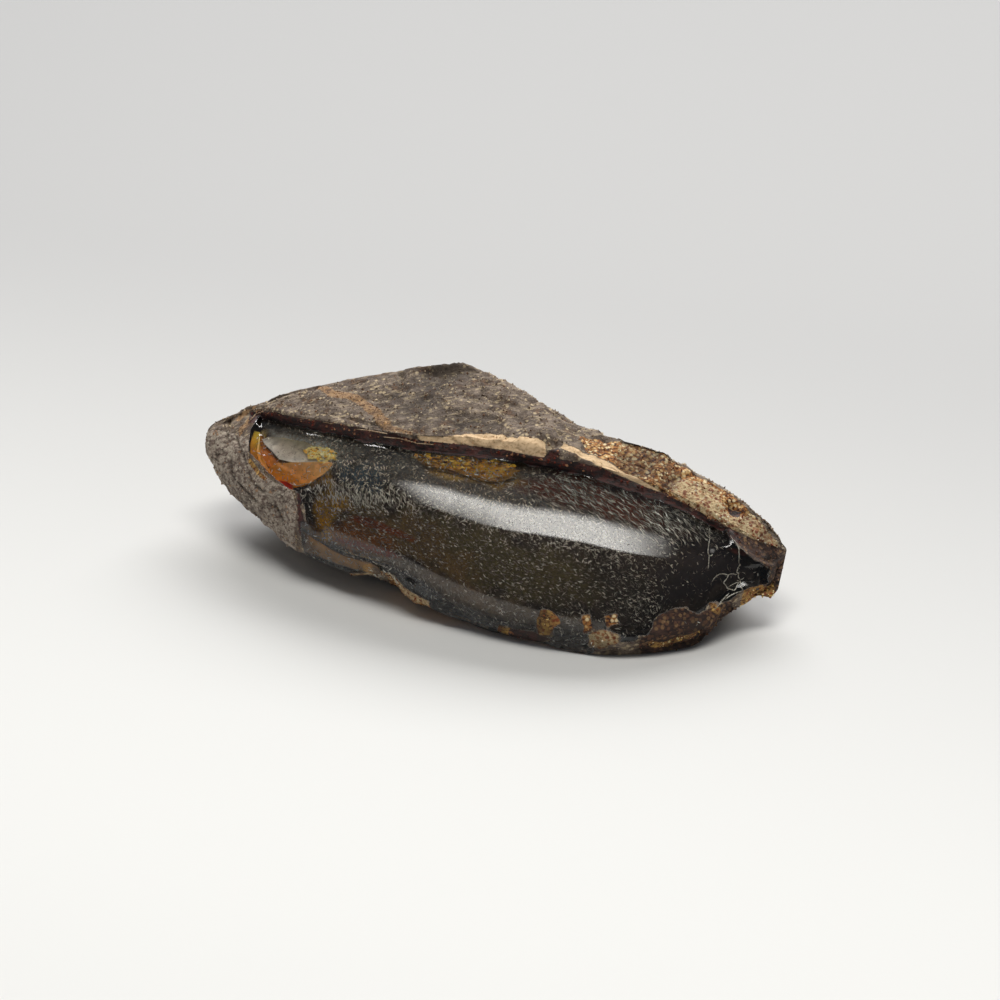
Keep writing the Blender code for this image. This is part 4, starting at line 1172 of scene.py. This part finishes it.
flakes = dict(
    seed=11, tilt=0.22, turn=0.5, drawnOut=1.7, half=0.04,  # half is half their thickness
    uneven=(0.3, 0.55),  # how far a corner turns from its sixth of the round, and its least reach
    wander=(1.5, 0.6, 71.0),  # size, width and seed of the noise that moves the groups' edges
    # outline of (x, place), count, sizes, depths under the polish, colours and each one's share
    groups=(
        (((-12.8, 2.04), (-8.0, 2.015), (-2.4, 2.0), (3.3, 2.0), (6.9, 2.03), (6.4, 2.07), (4.2, 2.11),
          (0.4, 2.12), (-4.8, 2.10), (-9.7, 2.09)), 380, (0.22, 0.9), (0.3, 1.7),
         (("#e8b838", 0.36), ("#ffe28c", 0.14), ("#a07020", 0.32), ("#3c220c", 0.18))),
        (((-34.6, 2.21), (-33.2, 2.15), (-30.3, 2.12), (-28.1, 2.15), (-27.1, 2.21), (-29.8, 2.26),
          (-32.8, 2.27)), 260, (0.25, 0.95), (0.1, 0.4),
         (("#f6e08a", 0.45), ("#fff4c0", 0.25), ("#d0a040", 0.24), ("#6a4818", 0.06))),
    ),
)


def makeFlakes():
    # each flake is a flat six-cornered lens with uneven corners, nearly level with the skin above it
    random = np.random.default_rng(flakes["seed"])
    points, colours = [], []
    for outline, count, sizes, depths, palette in flakes["groups"]:
        xs, places = np.array(outline, float).T
        x = random.uniform(xs.min(), xs.max(), count * 6)
        place = random.uniform(places.min(), places.max(), count * 6)
        size, width, seed = flakes["wander"]
        wander = valueNoise(skinAt(stationOf(x), place), size, seed) * width
        keep = np.flatnonzero(patchDepth(x, place, (outline,)) + wander > 0.0)[:count]
        x, place, count = x[keep], place[keep], len(keep)
        along, around, outward = skinFrame(stationOf(x), place)
        normal = tilted(random, along, around, outward, flakes["tilt"])
        turn = random.uniform(-flakes["turn"], flakes["turn"], count)[:, None]
        forward = unit(along * np.cos(turn) + around * np.sin(turn))
        side = unit(np.cross(normal, forward))
        centre = under(x, place, outward, polishedBy(x, place) + random.uniform(*depths, count))
        size = (sizes[0] + (sizes[1] - sizes[0]) * random.uniform(0, 1, count) ** 2)[:, None]
        corners = []
        turning, least = flakes["uneven"]
        for step in range(6):
            angle = np.pi / 3 * step + random.uniform(-turning, turning, count)[:, None]
            reach = size * random.uniform(least, 1.0, (count, 1)) * 0.5
            corners.append(centre + forward * np.cos(angle) * reach * flakes["drawnOut"]
                           + side * np.sin(angle) * reach)
        lens = [centre + normal * flakes["half"], *corners, centre - normal * flakes["half"]]
        points.append(np.stack(lens, axis=1))
        shares = np.array([share for _, share in palette])
        pick = random.choice(len(palette), count, p=shares / shares.sum())
        hues = np.array([underResin(colour, np.mean(depths)) for colour, _ in palette])[pick]
        colours.append(hues)
    points, colours = np.concatenate(points), np.concatenate(colours)
    # small flat stress cracks in the resin, which glint golden
    material = stainedMaterial("goldenStressCracks", 0.35, 0.3, 0.25)
    faces = copies(len(points), 8, doublePyramid(6))
    piece = addPiece("goldenFlakes", points.reshape(-1, 3), faces, material, False)
    giveValues(piece, "tone", np.repeat(colours, 8, axis=0))
    print("golden flakes:", len(points))


makeFlakes()

sheetForm = dict(
    rings=14, innermost=0.06, perEdge=6,  # rings from the rim to that share of it, points to an edge
    thickness=0.06, leastPolish=0.7,  # near a window's edge the polish counts for at least this
)
sheets = dict(
    # the resin's state there, the outline of (x, place), the depths of its rim and middle, and its colours at
    # the upper right, at the lower left and along its rim
    amberGlow=dict(
        resin="honeyResin",
        outline=((-46.2, 2.19), (-44.9, 2.21), (-44.4, 2.28), (-41.9, 2.32), (-39.4, 2.37), (-40.6, 2.455),
                 (-42.8, 2.445), (-44.8, 2.38), (-45.7, 2.29)),
        depths=(0.8, 1.2), colours=("#5a3c16", "#9a5616"), rim=None),
    yellowCleft=dict(
        resin="splitYellowResin",
        outline=((-47.3, 2.19), (-46.0, 2.18), (-45.5, 2.28), (-45.0, 2.37), (-43.4, 2.44), (-41.2, 2.475),
                 (-39.4, 2.50), (-40.8, 2.53), (-43.4, 2.50), (-45.9, 2.43), (-47.0, 2.32)),
        depths=(0.2, 0.5), colours=("#fadc48", "#e8881c"), rim=None),
    fractureSheet=dict(
        resin="crackedOrangeResin",
        outline=((-41.6, 2.50), (-38.3, 2.535), (-34.7, 2.525), (-32.6, 2.48), (-30.5, 2.40), (-28.5, 2.32),
                 (-27.4, 2.235), (-29.9, 2.245), (-33.3, 2.29), (-36.4, 2.33), (-39.7, 2.38)),
        depths=(0.4, 1.0), colours=("#b08a58", "#e6901c"), rim=None),
    redSpot=dict(
        resin="oxidisedRedResin",
        outline=((-37.8, 2.50), (-36.2, 2.49), (-34.6, 2.495), (-34.2, 2.53), (-36.0, 2.55), (-38.0, 2.54)),
        depths=(0.15, 0.25), colours=("#8a1408", "#b03010"), rim="#a84c14"),
    # painted reflection: the lamp's pale glare on the left window, drawn as a sheet, palest at its lower left
    glareWedgePainted=dict(
        resin="paintedLampGlare",
        outline=((-44.9, 2.24), (-44.2, 2.27), (-41.9, 2.305), (-39.6, 2.345), (-36.4, 2.328), (-33.3, 2.288),
                 (-29.9, 2.243), (-27.6, 2.215), (-30.0, 2.16), (-35.0, 2.13), (-40.0, 2.15), (-44.0, 2.19)),
        depths=(0.5, 1.0), colours=("#66604f", "#f2ecde"), rim=None),
    goldenHaze=dict(
        resin="cloudedGoldenResin",
        outline=((-13.0, 2.05), (-8.0, 2.02), (-2.4, 2.005), (3.3, 2.01), (8.0, 2.04), (7.4, 2.09),
                 (5.2, 2.135), (1.4, 2.14), (-3.8, 2.12), (-9.7, 2.105)),
        depths=(1.6, 1.9), colours=("#e8a626", "#b8802c"), rim="#5c4218"),
    brownEdge=dict(
        resin="thinBrownResin",
        outline=((-31.5, 2.78), (-27.0, 2.84), (-22.0, 2.88), (-17.0, 2.88), (-14.4, 2.90), (-13.9, 2.96),
                 (-18.5, 3.055), (-24.0, 3.045), (-31.2, 2.98)),
        depths=(0.2, 0.5), colours=("#7a5624", "#6e5434"), rim="#3a2a1a"),
)


def makeSheet(name, resin, outline, depths, colours, rim):
    # rings of the outline drawn in to its middle, as a thin sheet that bulges inwards: its depth goes from
    # the rim's to the middle's as 1 - share^2, where share is 1 on the rim
    closed = np.array((*outline, outline[0]), float)
    around = np.arange(len(closed))
    fineAt = np.linspace(0, len(outline), len(outline) * sheetForm["perEdge"], endpoint=False)
    fine = np.column_stack([np.interp(fineAt, around, closed[:, 0]), np.interp(fineAt, around, closed[:, 1])])
    middle = closed[1:].mean(axis=0)
    shares = np.linspace(1.0, sheetForm["innermost"], sheetForm["rings"])
    grid = middle + (fine - middle) * shares[:, None, None]
    x, place = grid[..., 0], grid[..., 1]
    _, _, outward = skinFrame(stationOf(x), place)
    skin = skinAt(stationOf(x), place)
    depth = np.maximum(polishedBy(x, place), sheetForm["leastPolish"]) + depths[0]
    depth = depth + (depths[1] - depths[0]) * (1.0 - shares[:, None] ** 2)
    depth = depth + valueNoise(skin, 2.0, 81.0) * 0.3 * depths[0]
    upper = skin - outward * depth[..., None]
    lower = upper - outward * sheetForm["thickness"]
    count, rings = len(fine), len(shares)
    points = np.vstack([upper.reshape(-1, 3), lower.reshape(-1, 3)])
    here = np.arange(rings * count).reshape(rings, count)
    after = np.roll(here, -1, axis=1)
    below = rings * count
    top = np.stack([here[:-1], after[:-1], after[1:], here[1:]], axis=-1).reshape(-1, 4)
    bottom = top[:, ::-1] + below
    rimFaces = np.column_stack([here[0] + below, after[0] + below, after[0], here[0]])
    caps = [here[-1].tolist(), (here[-1][::-1] + below).tolist()]
    faces = top.tolist() + bottom.tolist() + rimFaces.tolist() + caps
    # a crack or stain in the resin, which catches the light that comes through the polish; the pale wedge's
    # sheet is instead a painted reflection of the lamp
    piece = addPiece(name, points, faces, stainedMaterial(resin, 0.3, 1.2, 0.2))
    leftward, downward = (x.max() - x) / np.ptp(x), (place - place.min()) / np.ptp(place)
    across = smoothstep(0.15, 0.85, leftward * 0.25 + downward * 0.75)
    hue = mixColours(underResin(colours[0], depths[0]), underResin(colours[1], depths[0]), across)
    if rim:
        fade = smoothstep(0.55, 1.0, shares[:, None] + valueNoise(skin, 1.4, 82.0) * 0.15)
        hue = mixColours(hue, underResin(rim, depths[0]), fade)
    hue = hue.reshape(-1, 3)
    giveValues(piece, "tone", np.vstack([hue, hue]))


for sheetName, look in sheets.items():
    makeSheet(sheetName, **look)
print("sheets are made")

crumbs = dict(
    count=14000, seed=21, size=(0.12, 0.6),
    sink=0.2, away=0.35,  # the share of it that a grain is sunk in, and how far from a window grains begin
    small=2.5, reach=(0.35, 0.9), uneven=0.2,  # power that makes most small; corners' reach and jitter
    full=1.5, fewerOnTan=0.8, lowest=0.4,  # full number that far on, share left out on tan, least height
    bare=("#b3a48f", "#8d7a66", "#5a493c", "#d2bf9f", "#7a5a42"),
    zones=dict(
        # grains on the left end are painted paler too, for the light that side lacks
        leftCrustPaintedLight=("#c2b7a6", "#94877a", "#5e4c44", "#a08064"), swath=("#c49a6c", "#a07850", "#6a4428"),
        rust=("#d8b078", "#9a6436", "#5a3018", "#efd6a6", "#7a4422"), tan=("#ecd2aa", "#c9a880"),
        umber=("#6a4a38", "#38221a", "#8e6e50"), ochre=("#dcb468", "#8e4c22", "#f0dca4"),
        cream=("#e8d8b4", "#b08c60", "#7c3a1c", "#f4ecd4"), red=("#6a2412", "#3a120a", "#a07050")),
)


def makeCrumbs():
    # loose grains of the rind: uneven octahedra sunk in at the body's own points, coloured like the crust
    random = np.random.default_rng(crumbs["seed"])
    alongStep = np.linalg.norm(np.gradient(surface, axis=0), axis=-1)
    aroundStep = np.linalg.norm(np.gradient(surface, axis=1), axis=-1)
    rough = np.clip(-materialDepth - crumbs["away"], 0.0, crumbs["full"]) * np.clip(tipFade * 4.0, 0.0, 1.0)
    smoother = 1.0 - crumbs["fewerOnTan"] * (patchDepth(x, places, zones["tan"]) > 0.0)
    chance = (alongStep * aroundStep * rough * smoother * (surface[..., 2] > crumbs["lowest"])).ravel()
    picked = random.choice(chance.size, crumbs["count"], p=chance / chance.sum())
    rows, columns = np.unravel_index(picked, materialDepth.shape)
    outward = gridOutward(surface)[rows, columns]
    along = unit(np.gradient(surface, axis=0))[rows, columns]
    side = np.cross(outward, along)
    low, high = crumbs["size"]
    size = (low + (high - low) * random.uniform(0.0, 1.0, crumbs["count"]) ** crumbs["small"])[:, None]
    slide = random.uniform(-0.5, 0.5, (crumbs["count"], 2))
    centre = (surface[rows, columns] + along * slide[:, :1] * alongStep[rows, columns, None]
              + side * slide[:, 1:] * aroundStep[rows, columns, None]
              - outward * size * crumbs["sink"])
    corners = [centre + way * size * random.uniform(*crumbs["reach"], (crumbs["count"], 1))
               for way in (along, side, outward, -side, -outward, -along)]
    jitter = crumbs["uneven"]
    corners = [corner + random.uniform(-jitter, jitter, (crumbs["count"], 3)) * size for corner in corners]
    pick = random.integers(0, 60, crumbs["count"])
    palette = np.array([srgb(colour)[:3] for colour in crumbs["bare"]])
    hues = palette[pick % len(palette)]
    for zone, colours in crumbs["zones"].items():
        inside = patchDepth(x, places, zones[zone])[rows, columns] > 0.0
        palette = np.array([srgb(colour)[:3] for colour in colours])
        hues = np.where(inside[:, None], palette[pick % len(palette)], hues)
    # grit that the weathered rind sheds, which looks dull and dusty
    material = stainedMaterial("weatheredGrit", 0.85, 0.3, 0.2)
    points = np.stack(corners, axis=1).reshape(-1, 3)
    faces = copies(crumbs["count"], 6, doublePyramid(4))
    piece = addPiece("rindGrains", points, faces, material, False)
    giveValues(piece, "tone", np.repeat(hues, 6, axis=0))


makeCrumbs()
print("rind grains are made")
